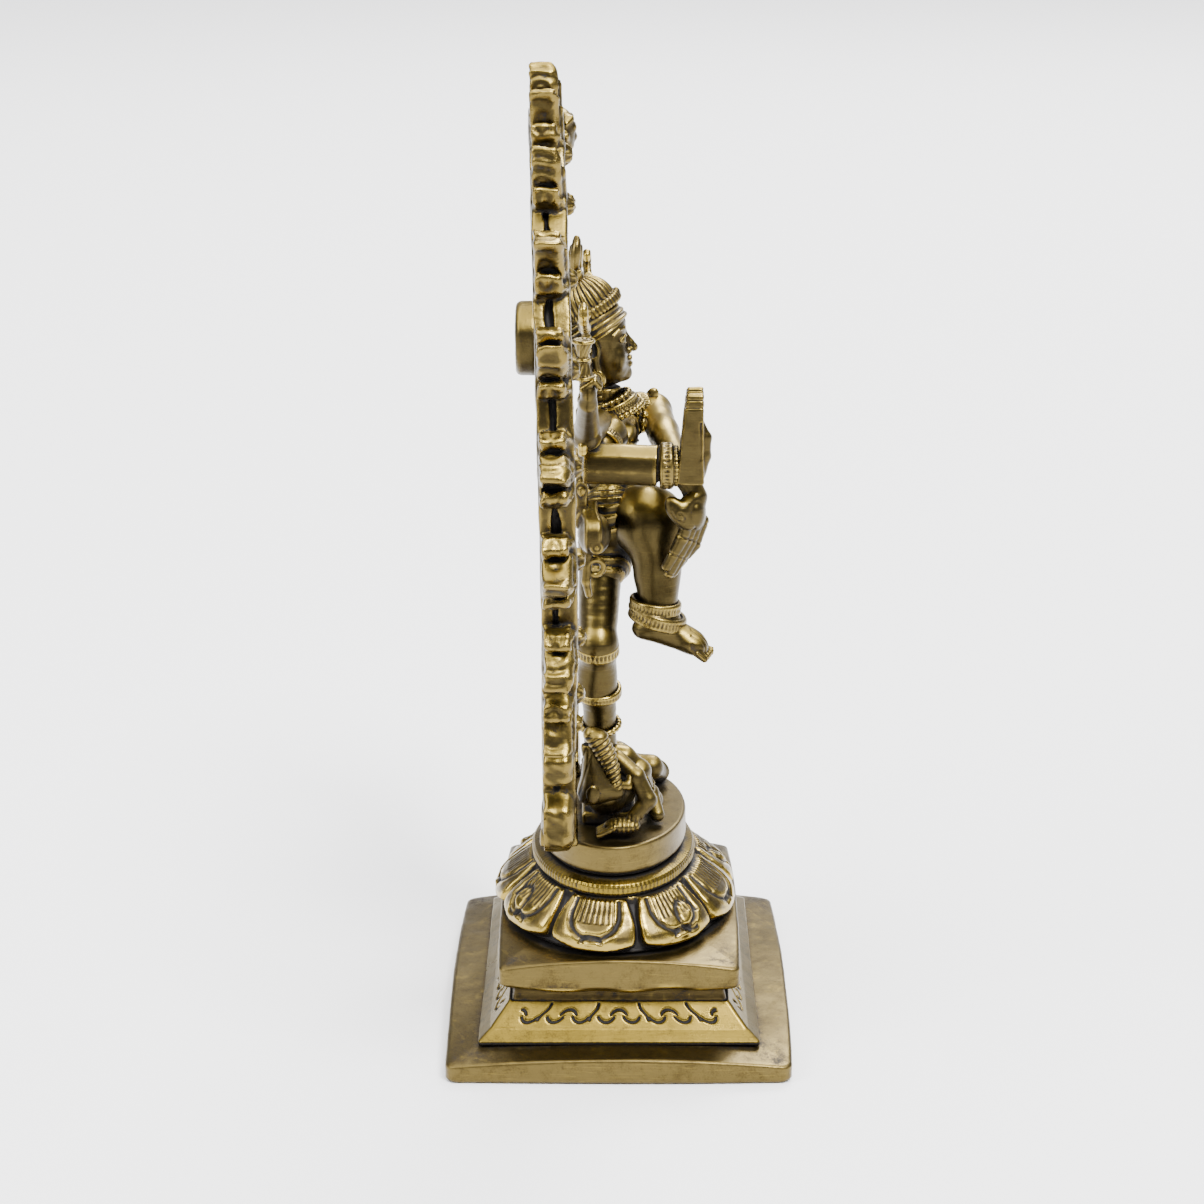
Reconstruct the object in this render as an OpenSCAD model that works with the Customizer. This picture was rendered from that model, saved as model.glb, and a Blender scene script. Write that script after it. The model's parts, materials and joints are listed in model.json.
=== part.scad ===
/* [Base] */
// Width of the bottom plate, left to right
plate_w = 71; // [66:0.5:76]
// Depth of the bottom plate, front to back
plate_d = 58; // [54:0.5:62]
// Thickness of the bottom plate
plate_h = 4.6; // [3.5:0.1:6]
// Height of the sloped moulding with the engraved scroll
moulding_h = 5.8; // [4.5:0.1:7]
// Height of the recessed neck under the upper slab
neck_h = 3.1; // [2:0.1:4]
// Thickness of the upper slab
slab_h = 5.5; // [4:0.1:7]
// Height of the lotus pedestal
lotus_h = 8.7; // [7:0.1:10]
// Height of the ribbed ring above the lotus
ring_h = 3; // [2:0.1:4]
// Height of the oval drum that carries the figure
drum_h = 5.6; // [5:0.1:7]

/* [Flame arch] */
// Inner radius of the arch ring
arch_r = 47.5; // [46:0.25:49]
// Width of the ring's band
band_w = 6; // [5:0.25:7]
// Length of a flame from the band to its tip
flame_l = 8.5; // [6:0.25:10]
// Number of flames round the ring
flame_count = 17; // [13:2:19]
// Thickness of the arch, front to back
arch_t = 5.6; // [4:0.1:6]

/* [Fixings] */
// Diameter of the tie bolt's shank
bolt_d = 4; // [3:0.1:5]
// Diameter of the pins that hold the arch, the dwarf and the foot
pin_d = 2; // [1.6:0.1:2.2]

/* [Hidden] */
$fn = 48;

brass = "#a58a4b";
dark_brass = "#7d6838";
bright_brass = "#c9a64e";

// Levels of the stacked base
z_moulding = plate_h;
z_neck = z_moulding + moulding_h;
z_slab = z_neck + neck_h;
z_lotus = z_slab + slab_h;
z_ring = z_lotus + lotus_h;
z_drum = z_ring + ring_h;
z_deck = z_drum + drum_h;

// Plan sizes of the tiers, width then depth
foot_plan = [61, 47.5];
brow_plan = [52, 36.8];
neck_plan = [51, 36.4];
slab_plan = [55.2, 40.6];
lotus_radii = [26.2, 20.2];
throat_radii = [21, 13.6];
drum_radii = [20.2, 12.8];
deck_y = 1;

// Bolt up the middle of the base
bolt_head_d = 8;
bolt_head_h = 3;
bolt_grip = 4;
bolt_clear = 0.1;

// Flame arch
arch_front = 7.2;
arch_z = 103;
band_r = arch_r + band_w / 2;
leg_angle = 58;
bare_angle = 16;
flame_pitch = (180 + 2 * (leg_angle - bare_angle)) / (flame_count - 1);
leg_x = 16.4;
pin_l = 6;
pin_grip = 3;
pin_x = 14.4;
pin_y = arch_front + 1.4;

// The dancer's joints, from the dancer's own right (-X) to left
right_hip = [-4, 1.9, 86.5];
right_knee = [-12.5, 2.7, 69.5];
right_ankle = [-7.5, 2.8, 52];
left_hip = [5, 0.6, 89];
left_knee = [-9.5, -4.4, 90];
left_ankle = [-14, -6.2, 76.4];
right_shoulder = [-8, 1.8, 104.6];
right_elbow = [-19, 4, 103];
right_wrist = [-19.6, -8.4, 102.6];
left_shoulder = [8, 1.2, 104.6];
left_elbow = [12.2, -6, 103.6];
left_wrist = [-15.5, -10.4, 99.6];
upper_shoulder = [8.2, 3.6, 106.4];
upper_elbow = [24, 4.6, 107.4];
upper_wrist = [33.6, 4.6, 115.4];
neck_base = [0, 2, 108];
head_low = [0, 2.2, 115.2];
head_high = [0, 2.6, 119.4];
crown_low = [0, 3.2, 122.8];
crown_high = [0, 5.2, 126.4];
disc_z = 119.4;
disc_d = 12.4;

function along(a, b, t) = a + t * (b - a);

function oval(r, n) = [for (i = [0:n - 1]) [r[0] * cos(360 * i / n), r[1] * sin(360 * i / n)]];

// Turns the Z axis to point from a to b, with a as the origin
module aim(a, b) {
  d = b - a;
  translate(a) rotate([0, acos(d[2] / norm(d)), atan2(d[1], d[0])]) children();
}

// A tapered rod from a to b
module limb(a, b, ra, rb) {
  aim(a, b) cylinder(h = norm(b - a), r1 = ra, r2 = rb);
}

// A round joint between two rods, a little larger than they are
module knob(p, r) {
  translate(p) sphere(r);
}

// A flat band about the line from a to b, centred at the fraction t
module cuff(a, b, t, r, w) {
  aim(along(a, b, t), b) translate([0, 0, -w / 2]) cylinder(h = w, r = r);
}

// A stack of closed outlines with the same number of points, joined ring to ring
module loft(rings) {
  n = len(rings[0]);
  m = len(rings);
  points = [for (ring = rings) for (p = ring) p];
  floor_face = [[for (i = [0:n - 1]) i]];
  top_face = [[for (i = [n - 1:-1:0]) (m - 1) * n + i]];
  sides = [for (k = [0:m - 2]) for (i = [0:n - 1])
    [k * n + i, (k + 1) * n + i, (k + 1) * n + (i + 1) % n, k * n + (i + 1) % n]];
  polyhedron(points, concat(floor_face, sides, top_face));
}

function level(outline, z) = [for (p = outline) [p[0], p[1], z]];
function plan_box(s) = [[-s[0] / 2, -s[1] / 2], [s[0] / 2, -s[1] / 2],
  [s[0] / 2, s[1] / 2], [-s[0] / 2, s[1] / 2]];

module slab(plan, z, h) {
  translate([-plan[0] / 2, -plan[1] / 2, z]) cube([plan[0], plan[1], h]);
}

module bolt_hole(z, h) {
  translate([0, 0, z - 1]) cylinder(d = bolt_d + 2 * bolt_clear, h = h + 2);
}

// ---- Base ----

module bottom_plate() {
  color(brass) difference() {
    slab([plate_w, plate_d], 0, plate_h);
    bolt_hole(0, plate_h);
    translate([0, 0, -1]) cylinder(d = bolt_head_d + 1, h = bolt_head_h + 1.4);
  }
}

module scroll_moulding() {
  lip_h = moulding_h * 0.22;
  color(bright_brass) difference() {
    loft([
      level(plan_box(foot_plan), z_moulding),
      level(plan_box(foot_plan), z_moulding + lip_h),
      level(plan_box(brow_plan), z_neck)]);
    bolt_hole(z_moulding, moulding_h);
  }
}

module neck_block() {
  color(dark_brass) difference() {
    slab(neck_plan, z_neck, neck_h);
    bolt_hole(z_neck, neck_h);
  }
}

module upper_slab() {
  color(brass) difference() {
    slab(slab_plan, z_slab, slab_h);
    bolt_hole(z_slab, slab_h);
  }
}

module lotus_pedestal() {
  shrink = [for (t = [0:0.2:1]) 1 - pow(t, 2)];
  n = 48;
  color(brass) difference() {
    loft([for (k = [0:len(shrink) - 1])
      let (r = throat_radii + shrink[k] * (lotus_radii - throat_radii),
        z = z_lotus + lotus_h * k / (len(shrink) - 1))
      [for (p = oval(r, n)) [p[0], p[1] + deck_y * (1 - shrink[k]), z]]]);
    bolt_hole(z_lotus, lotus_h);
  }
}

module ribbed_ring() {
  color(bright_brass) difference() {
    translate([0, deck_y, z_ring]) linear_extrude(ring_h) polygon(oval(throat_radii + [0.7, 0.7], 60));
    bolt_hole(z_ring, ring_h);
  }
}

module drum() {
  color(brass) difference() {
    translate([0, deck_y, z_drum]) linear_extrude(drum_h) polygon(oval(drum_radii, 60));
    translate([0, 0, z_drum - 1]) cylinder(d = bolt_d, h = bolt_grip + 1);
    fixing_pins();
  }
}

module tie_bolt() {
  shank_top = z_drum + bolt_grip - 0.4;
  color(dark_brass) difference() {
    union() {
      translate([0, 0, 0.4]) cylinder(d = bolt_head_d, h = bolt_head_h);
      translate([0, 0, 1]) cylinder(d = bolt_d, h = shank_top - 1);
    }
    translate([-bolt_head_d, -0.5, -1]) cube([2 * bolt_head_d, 1, 2.4]);
  }
}

// ---- Flame arch ----

function flame_outline(l, w) = [[-w * 0.5, -1.4], [-w * 0.56, l * 0.3], [-w * 0.34, l * 0.68],
  [-w * 0.1, l], [w * 0.14, l * 0.94], [w * 0.36, l * 0.62], [w * 0.55, l * 0.26], [w * 0.5, -1.4]];

// Turns a flat outline into a plate of thickness t, centred in the arch's depth
module arch_plate(t) {
  translate([0, arch_front + (arch_t + t) / 2, 0]) rotate([90, 0, 0]) linear_extrude(t) children();
}

module arch_leg(side) {
  foot_w = 6.4;
  cut_drop = band_r * sin(leg_angle);
  outer_x = sqrt(pow(arch_r + band_w, 2) - pow(cut_drop, 2));
  inner_x = sqrt(pow(arch_r, 2) - pow(cut_drop, 2));
  top_z = arch_z - cut_drop + 1;
  arch_plate(arch_t - 0.6) polygon([[side * outer_x, top_z], [side * (inner_x + 2.2), top_z],
    [side * (leg_x - foot_w / 2), z_deck], [side * (leg_x + foot_w / 2), z_deck]]);
}

module arch_band() {
  open_w = 2 * band_r;
  arch_mid = arch_front + arch_t / 2;
  translate([0, arch_mid, arch_z]) difference() {
    rotate([90, 0, 0]) cylinder(r = arch_r + band_w, h = arch_t, center = true);
    rotate([90, 0, 0]) cylinder(r = arch_r, h = arch_t + 2, center = true);
    translate([-open_w / 2, -arch_t, -2 * band_r])
      cube([open_w, 2 * arch_t, 2 * band_r - band_r * sin(leg_angle)]);
  }
}

module flames() {
  flame_w = band_r * flame_pitch * PI / 180 * 0.82;
  for (i = [0:flame_count - 1])
    let (turn = flame_pitch * (i - (flame_count - 1) / 2))
    arch_plate(arch_t - 1.2) translate([0, arch_z]) rotate(turn)
      translate([0, arch_r + band_w]) polygon(flame_outline(flame_l, flame_w));
  for (side = [-1, 1])
    arch_plate(arch_t - 1.2) translate([side * 21.5, 48]) rotate(-side * 62)
      polygon(flame_outline(6.5, 7));
}

module flame_arch() {
  color(brass) difference() {
    union() {
      arch_band();
      arch_leg(1);
      arch_leg(-1);
      flames();
    }
    arch_pins();
  }
}

module deck_pin(x, y) {
  translate([x, y, z_deck - pin_grip]) cylinder(d = pin_d, h = pin_l, $fn = 24);
}

module arch_pins() {
  color(dark_brass) {
    deck_pin(-pin_x, pin_y);
    deck_pin(pin_x, pin_y);
  }
}

module dwarf_pins() {
  color(dark_brass) {
    deck_pin(-8, 1.5);
    deck_pin(8, 1.5);
  }
}

module fixing_pins() {
  arch_pins();
  dwarf_pins();
}

// ---- Dwarf under the foot ----

back_z = z_deck + 4.8;

module dwarf_trunk() {
  limb([-9.5, 1.8, back_z], [9.5, 1.8, back_z], 4.8, 4.8);
}

module dwarf_body() {
  color(dark_brass) difference() {
    dwarf_trunk();
    dwarf_pins();
    foot_pin();
  }
}

module dwarf_head() {
  color(dark_brass) difference() {
    union() {
      knob([-13.6, 2, z_deck + 8.2], 4);
      limb([-13.6, 3.4, z_deck + 9], [-13.2, 4.6, z_deck + 14.6], 2.6, 1.2);
    }
    dwarf_trunk();
  }
}

module dwarf_arms() {
  shoulder = [-12, -2.2, z_deck + 4.6];
  elbow = [-13, -5.4, z_deck + 4.2];
  hand = [-15.6, -2.4, z_deck + 1.9];
  color(dark_brass) difference() {
    union() {
      limb(shoulder, elbow, 1.5, 1.5);
      knob(elbow, 1.7);
      limb(elbow, hand, 1.4, 1.6);
    }
    dwarf_trunk();
    knob([-13.6, 2, z_deck + 8.2], 4);
  }
}

module dwarf_leg_part(a, b, ra, rb) {
  hull() {
    translate(a) sphere(r = ra, $fn = 24);
    translate(b) sphere(r = rb, $fn = 24);
  }
}

module dwarf_legs() {
  hip = [7, 0, z_deck + 4.4];
  knee = [6, -6.2, z_deck + 3.2];
  heel = [10.4, -7.4, z_deck + 2.4];
  color(dark_brass) difference() {
    union() {
      dwarf_leg_part(hip, knee, 2.2, 1.9);
      dwarf_leg_part(knee, heel, 1.9, 1.4);
    }
    dwarf_trunk();
  }
}

module cobra() {
  color(bright_brass) difference() {
    limb([-14.4, -1, z_deck + 10], [-15.2, 0.6, z_deck + 18.6], 1.4, 2.4);
    knob([-13.6, 2, z_deck + 8.2], 4);
  }
}

// ---- Legs ----

module standing_leg_solid() {
  knob(right_hip, 4.6);
  limb(right_hip, right_knee, 4.3, 3.5);
  knob(right_knee, 3.8);
  limb(right_knee, right_ankle, 3.5, 2.6);
}

module foot_pin() {
  color(dark_brass) translate([right_ankle[0], 1.6, back_z + 2])
    cylinder(d = pin_d, h = 7.5, $fn = 24);
}

module standing_leg() {
  color(brass) difference() {
    standing_leg_solid();
    hip_core();
    foot_pin();
  }
}

module standing_foot() {
  heel = right_ankle + [0, 0.6, -0.2];
  toe = right_ankle + [-1, -8.2, -5.2];
  color(brass) difference() {
    union() {
      limb(heel, toe, 2, 1.6);
      knob(heel, 2.3);
    }
    limb(right_knee, right_ankle, 3.5, 2.6);
    dwarf_trunk();
    foot_pin();
  }
}

module raised_leg_solid() {
  knob(left_hip, 5.9);
  limb(left_hip, left_knee, 5.6, 5.2);
  knob(left_knee, 5.6);
  limb(left_knee, left_ankle, 4.9, 3.4);
}

module raised_leg() {
  color(dark_brass) difference() {
    raised_leg_solid();
    hip_core();
    trunk_core();
  }
}

module raised_foot() {
  heel = left_ankle + [0, 1.6, -3];
  ball = left_ankle + [-0.8, -6.4, -6.2];
  color(brass) difference() {
    union() {
      knob(heel, 2.6);
      limb(heel, ball, 2.3, 2);
      for (i = [0:3])
        limb(ball + [-1.8 + 1.2 * i, 1, 0.2], ball + [-1.8 + 1.2 * i, -2.8, -1], 0.8, 0.6);
    }
    limb(left_knee, left_ankle, 4.9, 3.4);
  }
}

module knee_band() {
  color(bright_brass) difference() {
    cuff(right_knee, right_ankle, 0.3, 4.1, 1.6);
    limb(right_knee, right_ankle, 3.5, 2.6);
  }
}

module anklets() {
  color(bright_brass) {
    difference() {
      cuff(right_knee, right_ankle, 0.62, 3.6, 1.4);
      limb(right_knee, right_ankle, 3.5, 2.6);
    }
    difference() {
      cuff(left_knee, left_ankle, 0.85, 4.7, 1.8);
      limb(left_knee, left_ankle, 4.9, 3.4);
    }
  }
}

// ---- Trunk ----

module chest_core() {
  limb([-4.2, 1.6, 104], [4.2, 1.6, 104], 4.8, 4.8);
}

module trunk_core() {
  limb([0, 1.8, 103], [0, 2.2, 92.6], 5.8, 4.7);
}

module torso() {
  color(brass) {
    chest_core();
    knob([-4, 1.6, 104], 5.1);
    knob([4, 1.6, 104], 5.1);
    trunk_core();
  }
}

module hip_core() {
  limb([-5, 2.2, 88.2], [5, 2.2, 88.2], 4.4, 4.4);
}

module hip_cloth() {
  color(dark_brass) hip_core();
}

module waist_belt() {
  color(bright_brass) difference() {
    limb([0, 2.1, 95.4], [0, 2.1, 93.4], 5.7, 5.7);
    trunk_core();
    limb(left_hip, left_knee, 5.6, 5.2);
    knob(left_hip, 5.9);
  }
}

// Sash tied behind the hips, with flat ends that fly out in front of the arch
module sash_ends() {
  color(brass) translate([0, 7.1, 0]) rotate([90, 0, 0]) linear_extrude(0.5) polygon([
    [0, 91.6], [-8, 91.8], [-12, 95], [-19, 94], [-22, 90], [-18.5, 86.4], [-14, 88.4], [-8, 88.2],
    [0, 88], [8, 88], [15, 90], [24, 90.6], [29, 92], [24, 97], [14, 97], [8, 92]]);
}

module necklace() {
  color(bright_brass) difference() {
    limb([0, 1.4, 107.8], [0, 2, 110], 4.4, 4);
    limb(neck_base, head_low, 2.7, 2.7);
    chest_core();
    trunk_core();
  }
}

// ---- Arms ----

module lower_right_arm() {
  color(brass) difference() {
    union() {
      limb(right_shoulder, right_elbow, 2.8, 2.8);
      knob(right_elbow, 3.2);
      limb(right_elbow, right_wrist, 3, 2.7);
    }
    knob([-4, 1.6, 104], 5.1);
  }
}

module abhaya_hand() {
  palm = right_wrist + [-3.2, -4.8, -1.8];
  color(brass) {
    limb(right_wrist, right_wrist + [0, -2.6, 0.4], 2.4, 2.2);
    translate(palm) cube([6.4, 2.8, 7.6]);
    for (i = [0:3])
      limb(palm + [0.8 + 1.6 * i, 1.4, 7], palm + [0.8 + 1.6 * i, 1.1, 14.8 - abs(i - 1.4)], 0.78, 0.6);
    limb(palm + [5.4, 1, 1], palm + [5.6, -1.4, 6.6], 1.2, 0.8);
  }
}

module lower_left_arm() {
  color(brass) difference() {
    union() {
      limb(left_shoulder, left_elbow, 2.8, 2.7);
      knob(left_elbow, 3);
      limb(left_elbow, left_wrist, 2.7, 2.1);
    }
    knob([4, 1.6, 104], 5.1);
    chest_core();
    trunk_core();
  }
}

module hanging_hand() {
  knuckles = left_wrist + [-2.2, -0.8, -6];
  color(brass) difference() {
    union() {
      knob(left_wrist + [-0.4, 0, -0.6], 2.3);
      limb(left_wrist + [-0.4, 0, -0.6], knuckles, 2, 2.3);
      for (i = [0:3])
        limb(knuckles + [-1.8 + 1.2 * i, 0.6, 0.6], knuckles + [-2.2 + 1.2 * i, 3, -9 + 0.6 * i], 0.9, 0.6);
    }
    limb(left_elbow, left_wrist, 2.7, 2.1);
    limb(left_knee, left_ankle, 4.9, 3.4);
  }
}

module upper_arm(side) {
  flip = [side, 1, 1];
  s = [for (i = [0:2]) flip[i] * upper_shoulder[i]];
  e = [for (i = [0:2]) flip[i] * upper_elbow[i]];
  w = [for (i = [0:2]) flip[i] * upper_wrist[i]];
  difference() {
    union() {
      limb(s, e, 2.2, 2);
      knob(e, 2.3);
      limb(e, w, 2, 1.5);
      knob(w, 1.8);
      limb(w, w + [0, 0, 4], 1.5, 1.6);
    }
    knob([side * 4, 1.6, 104], 5.1);
  }
}

module upper_right_arm() {
  color(brass) upper_arm(-1);
}

module upper_left_arm() {
  color(brass) upper_arm(1);
}

// Small hour-glass drum standing on the upper right hand
module damaru() {
  color(bright_brass) translate([-upper_wrist[0], upper_wrist[1], upper_wrist[2] + 4]) rotate_extrude() polygon([
    [0, 0], [2.2, 0], [2.2, 0.6], [1.1, 3.2], [2.2, 5.8], [2.2, 6.4], [0, 6.4]]);
}

// Flame standing on the upper left hand
module hand_flame() {
  color(bright_brass) translate([upper_wrist[0], upper_wrist[1], upper_wrist[2] + 4]) rotate_extrude() polygon([
    [0, 0], [1.6, 0], [2.3, 1.6], [2.1, 3.2], [1.2, 5.6], [0, 7.6]]);
}

module armlets() {
  color(bright_brass) {
    difference() {
      cuff(right_shoulder, right_elbow, 0.6, 3.4, 1.8);
      limb(right_shoulder, right_elbow, 2.8, 2.8);
    }
    difference() {
      cuff(left_shoulder, left_elbow, 0.66, 3.4, 1.8);
      limb(left_shoulder, left_elbow, 2.8, 2.7);
    }
  }
}

module bangles() {
  color(bright_brass) {
    difference() {
      cuff(right_elbow, right_wrist, 0.93, 3.3, 1.6);
      limb(right_elbow, right_wrist, 3, 2.7);
    }
    difference() {
      cuff(left_elbow, left_wrist, 0.88, 2.8, 1.6);
      limb(left_elbow, left_wrist, 2.7, 2.1);
      knob(left_knee, 5.6);
    }
  }
}

// ---- Head ----

module head_core() {
  knob(head_low, 4.3);
  knob(head_high, 4.9);
}

module head() {
  color(brass) difference() {
    union() {
      limb(neck_base, head_low, 2.7, 2.7);
      head_core();
    }
    chest_core();
    trunk_core();
  }
}

module earrings() {
  color(bright_brass) for (side = [-1, 1])
    difference() {
      translate([side * 4.5, 3.4, 113.4]) rotate([0, 90, 0]) rotate_extrude() translate([1.5, 0]) circle(0.5);
      knob(head_low, 4.3);
    }
}

module crown() {
  color(brass) difference() {
    union() {
      limb(crown_low, crown_high, 5, 3.7);
      knob(crown_high, 3.9);
    }
    knob(head_high, 4.9);
  }
}

module crown_crest() {
  color(bright_brass) difference() {
    limb([0, 6, 128.4], [0, 7.4, 134.8], 2, 0.8);
    knob(crown_high, 3.9);
  }
}

// Locks of hair that fly out sideways, as flat bars with round ends
module lock(angle, l, w) {
  rotate(angle) {
    translate([0, -w / 2]) square([l, w]);
    translate([l, 0]) circle(w / 2 + 0.4);
  }
}

module hair_fan() {
  difference() {
    translate([3.4, 116.6]) for (i = [0:4]) lock(-28 + 14 * i, 26 - 1.4 * abs(i - 2), 2.8);
    translate([0, disc_z]) circle(7.2);
  }
}

module hair_solid() {
  translate([0, 7, 0]) rotate([90, 0, 0]) linear_extrude(0.6) hair_fan();
}

module hair_locks_left() {
  color(dark_brass) hair_solid();
}

module hair_locks_right() {
  color(dark_brass) mirror([1, 0, 0]) hair_solid();
}

// Wheel behind the head, on a stem that runs through the arch
module head_disc() {
  color(brass) difference() {
    union() {
      translate([0, 13.4, disc_z]) rotate([-90, 0, 0]) cylinder(d = disc_d, h = 3.8);
      translate([0, 5, disc_z]) rotate([-90, 0, 0]) cylinder(d = 3.2, h = 9);
    }
    knob(head_high, 4.9);
  }
}

bottom_plate();
scroll_moulding();
neck_block();
upper_slab();
lotus_pedestal();
ribbed_ring();
drum();
tie_bolt();
flame_arch();
arch_pins();
dwarf_pins();
foot_pin();
dwarf_body();
dwarf_head();
dwarf_arms();
dwarf_legs();
cobra();
standing_leg();
standing_foot();
raised_leg();
raised_foot();
knee_band();
anklets();
hip_cloth();
waist_belt();
sash_ends();
torso();
necklace();
lower_right_arm();
abhaya_hand();
lower_left_arm();
hanging_hand();
upper_right_arm();
damaru();
upper_left_arm();
hand_flame();
armlets();
bangles();
head();
earrings();
crown();
crown_crest();
hair_locks_right();
hair_locks_left();
head_disc();
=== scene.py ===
import math

import bpy
import numpy as np
import openvdb
from mathutils import Euler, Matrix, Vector
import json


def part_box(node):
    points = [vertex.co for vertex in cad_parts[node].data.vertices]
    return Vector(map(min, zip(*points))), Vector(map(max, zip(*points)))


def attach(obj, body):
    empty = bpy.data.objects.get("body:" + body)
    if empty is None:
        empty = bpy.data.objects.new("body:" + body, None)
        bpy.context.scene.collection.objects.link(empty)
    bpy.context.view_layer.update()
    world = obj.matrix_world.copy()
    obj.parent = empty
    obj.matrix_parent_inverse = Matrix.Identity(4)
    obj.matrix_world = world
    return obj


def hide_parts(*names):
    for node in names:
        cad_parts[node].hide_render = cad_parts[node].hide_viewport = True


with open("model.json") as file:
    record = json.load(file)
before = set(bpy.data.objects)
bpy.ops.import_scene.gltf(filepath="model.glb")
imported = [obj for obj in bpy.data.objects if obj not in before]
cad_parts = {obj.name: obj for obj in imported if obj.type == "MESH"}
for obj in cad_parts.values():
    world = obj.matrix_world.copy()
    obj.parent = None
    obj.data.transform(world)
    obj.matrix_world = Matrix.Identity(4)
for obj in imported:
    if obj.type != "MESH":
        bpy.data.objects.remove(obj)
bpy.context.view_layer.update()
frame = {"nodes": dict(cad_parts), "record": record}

# ---------------------------------------------------------------------------
# Sizes, in millimetres. Places come from the CAD frame.
# ---------------------------------------------------------------------------

MM = 0.001
COARSE = 1.0


def box_mm(node):
    low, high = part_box(node)
    return np.array(low) / MM, np.array(high) / MM


deck = box_mm("drum")[1][2]
arch_low, arch_high = box_mm("flame_arch")
arch_mid_y = (arch_low[1] + arch_high[1]) / 2

rng = np.random.default_rng(20)
NOISE_TABLE = rng.random((64, 64, 64)).astype(np.float32) * 2 - 1


# ---------------------------------------------------------------------------
# Distance fields. P is a triple of arrays that broadcast to a 3-D lattice.
# ---------------------------------------------------------------------------

def lattice(low, high, step):
    axes = [np.arange(a, b + step, step, dtype=np.float32) for a, b in zip(low, high)]
    return axes[0][:, None, None], axes[1][None, :, None], axes[2][None, None, :]


def noise(P, size, seed=0):
    """Smooth noise from -1 to 1, with lumps about size millimetres across."""
    out = 0
    cells = []
    for axis, p in enumerate(P):
        q = p / size + 17.3 * seed + 5.7 * axis + 200
        base = np.floor(q).astype(np.int64)
        part = (q - base).astype(np.float32)
        cells.append((base % 64, (base + 1) % 64, part * part * (3 - 2 * part)))
    (x0, x1, fx), (y0, y1, fy), (z0, z1, fz) = cells
    for ix, wx in ((x0, 1 - fx), (x1, fx)):
        for iy, wy in ((y0, 1 - fy), (y1, fy)):
            for iz, wz in ((z0, 1 - fz), (z1, fz)):
                out = out + NOISE_TABLE[ix, iy, iz] * wx * wy * wz
    return out


def length(*parts):
    return np.sqrt(sum(p * p for p in parts))


def moved(P, centre, turn=None):
    """P in the local axes of a shape at centre, turned by Euler angles in degrees."""
    q = [P[i] - centre[i] for i in range(3)]
    if turn is None:
        return q
    m = Euler([math.radians(a) for a in turn]).to_matrix()
    return [sum(m[j][i] * q[j] for j in range(3)) for i in range(3)]


def ball(P, c, r):
    return length(P[0] - c[0], P[1] - c[1], P[2] - c[2]) - r


def egg(P, c, r, turn=None):
    q = moved(P, c, turn)
    k0 = length(q[0] / r[0], q[1] / r[1], q[2] / r[2])
    k1 = length(q[0] / r[0] ** 2, q[1] / r[1] ** 2, q[2] / r[2] ** 2)
    return k0 * (k0 - 1) / np.maximum(k1, 1e-4)


def brick(P, c, half, rounding, turn=None):
    q = moved(P, c, turn)
    d = [np.abs(q[i]) - half[i] + rounding for i in range(3)]
    outside = length(*[np.maximum(v, 0) for v in d])
    inside = np.minimum(np.maximum(np.maximum(d[0], d[1]), d[2]), 0)
    return outside + inside - rounding


def axis_of(P, a, b):
    """Distance along the line from a towards b, distance from it, and its length."""
    a, b = np.array(a, float), np.array(b, float)
    size = np.linalg.norm(b - a)
    n = (b - a) / size
    q = [P[i] - a[i] for i in range(3)]
    t = sum(q[i] * n[i] for i in range(3))
    r = np.sqrt(np.maximum(sum(v * v for v in q) - t * t, 0))
    return t, r, size


def rod(P, a, b, ra, rb=None):
    rb = ra if rb is None else rb
    t, r, size = axis_of(P, a, b)
    h = np.clip(t / size, 0, 1)
    return length(t - h * size, r) - (ra + h * (rb - ra))


def hoop(P, c, axis, radius, wire, squash=1.0):
    """A ring about the axis through c; squash above 1 makes the wire taller along the axis."""
    t, r, _ = axis_of(P, c, np.array(c) + np.array(axis))
    return length(r - radius, t / squash) - wire


def melt(k, *fields):
    """Smooth union with blend size k."""
    out = fields[0]
    for f in fields[1:]:
        h = np.clip(0.5 + 0.5 * (out - f) / k, 0, 1)
        out = out * (1 - h) + f * h - k * h * (1 - h)
    return out


def carve(d, tool, k=0.15):
    """Takes tool away from d with a soft edge."""
    h = np.clip(0.5 - 0.5 * (d + tool) / k, 0, 1)
    return d * (1 - h) - tool * h + k * h * (1 - h)


def chain(P, points, radii, k=0.4):
    """A string of tapered rods through the points."""
    rods = [rod(P, points[i], points[i + 1], radii[i], radii[i + 1]) for i in range(len(points) - 1)]
    return melt(k, *rods) if len(rods) > 1 else rods[0]


def mirrored(P):
    """Folds the left side onto the right, so that one shape makes a pair at +X and -X."""
    return (np.abs(P[0]), P[1], P[2])


def groove(v, pitch, depth):
    """Rounded grooves every pitch along v, as an amount to add to a field."""
    return depth * (0.5 - 0.5 * np.cos(2 * math.pi * v / pitch)) ** 3


def line_cut(v, width, depth):
    return depth * np.exp(-(v / width) ** 2)


def cast_skin(P, amount=0.06, seed=1):
    """Unevenness of a hand-finished casting."""
    return amount * noise(P, 3.1, seed) + 0.4 * amount * noise(P, 1.1, seed + 1)


# ---------------------------------------------------------------------------
# From fields to meshes
# ---------------------------------------------------------------------------

SHADE_STEP = 0.6
shade_low = np.array([-66.0, -32.0, -2.0])
shade_size = ((np.array([66.0, 32.0, 170.0]) - shade_low) / SHADE_STEP).astype(int)
filled = np.zeros(shade_size, np.float32)
FULL = 4  # what a shading cell counts when metal fills it
pieces = []


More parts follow.
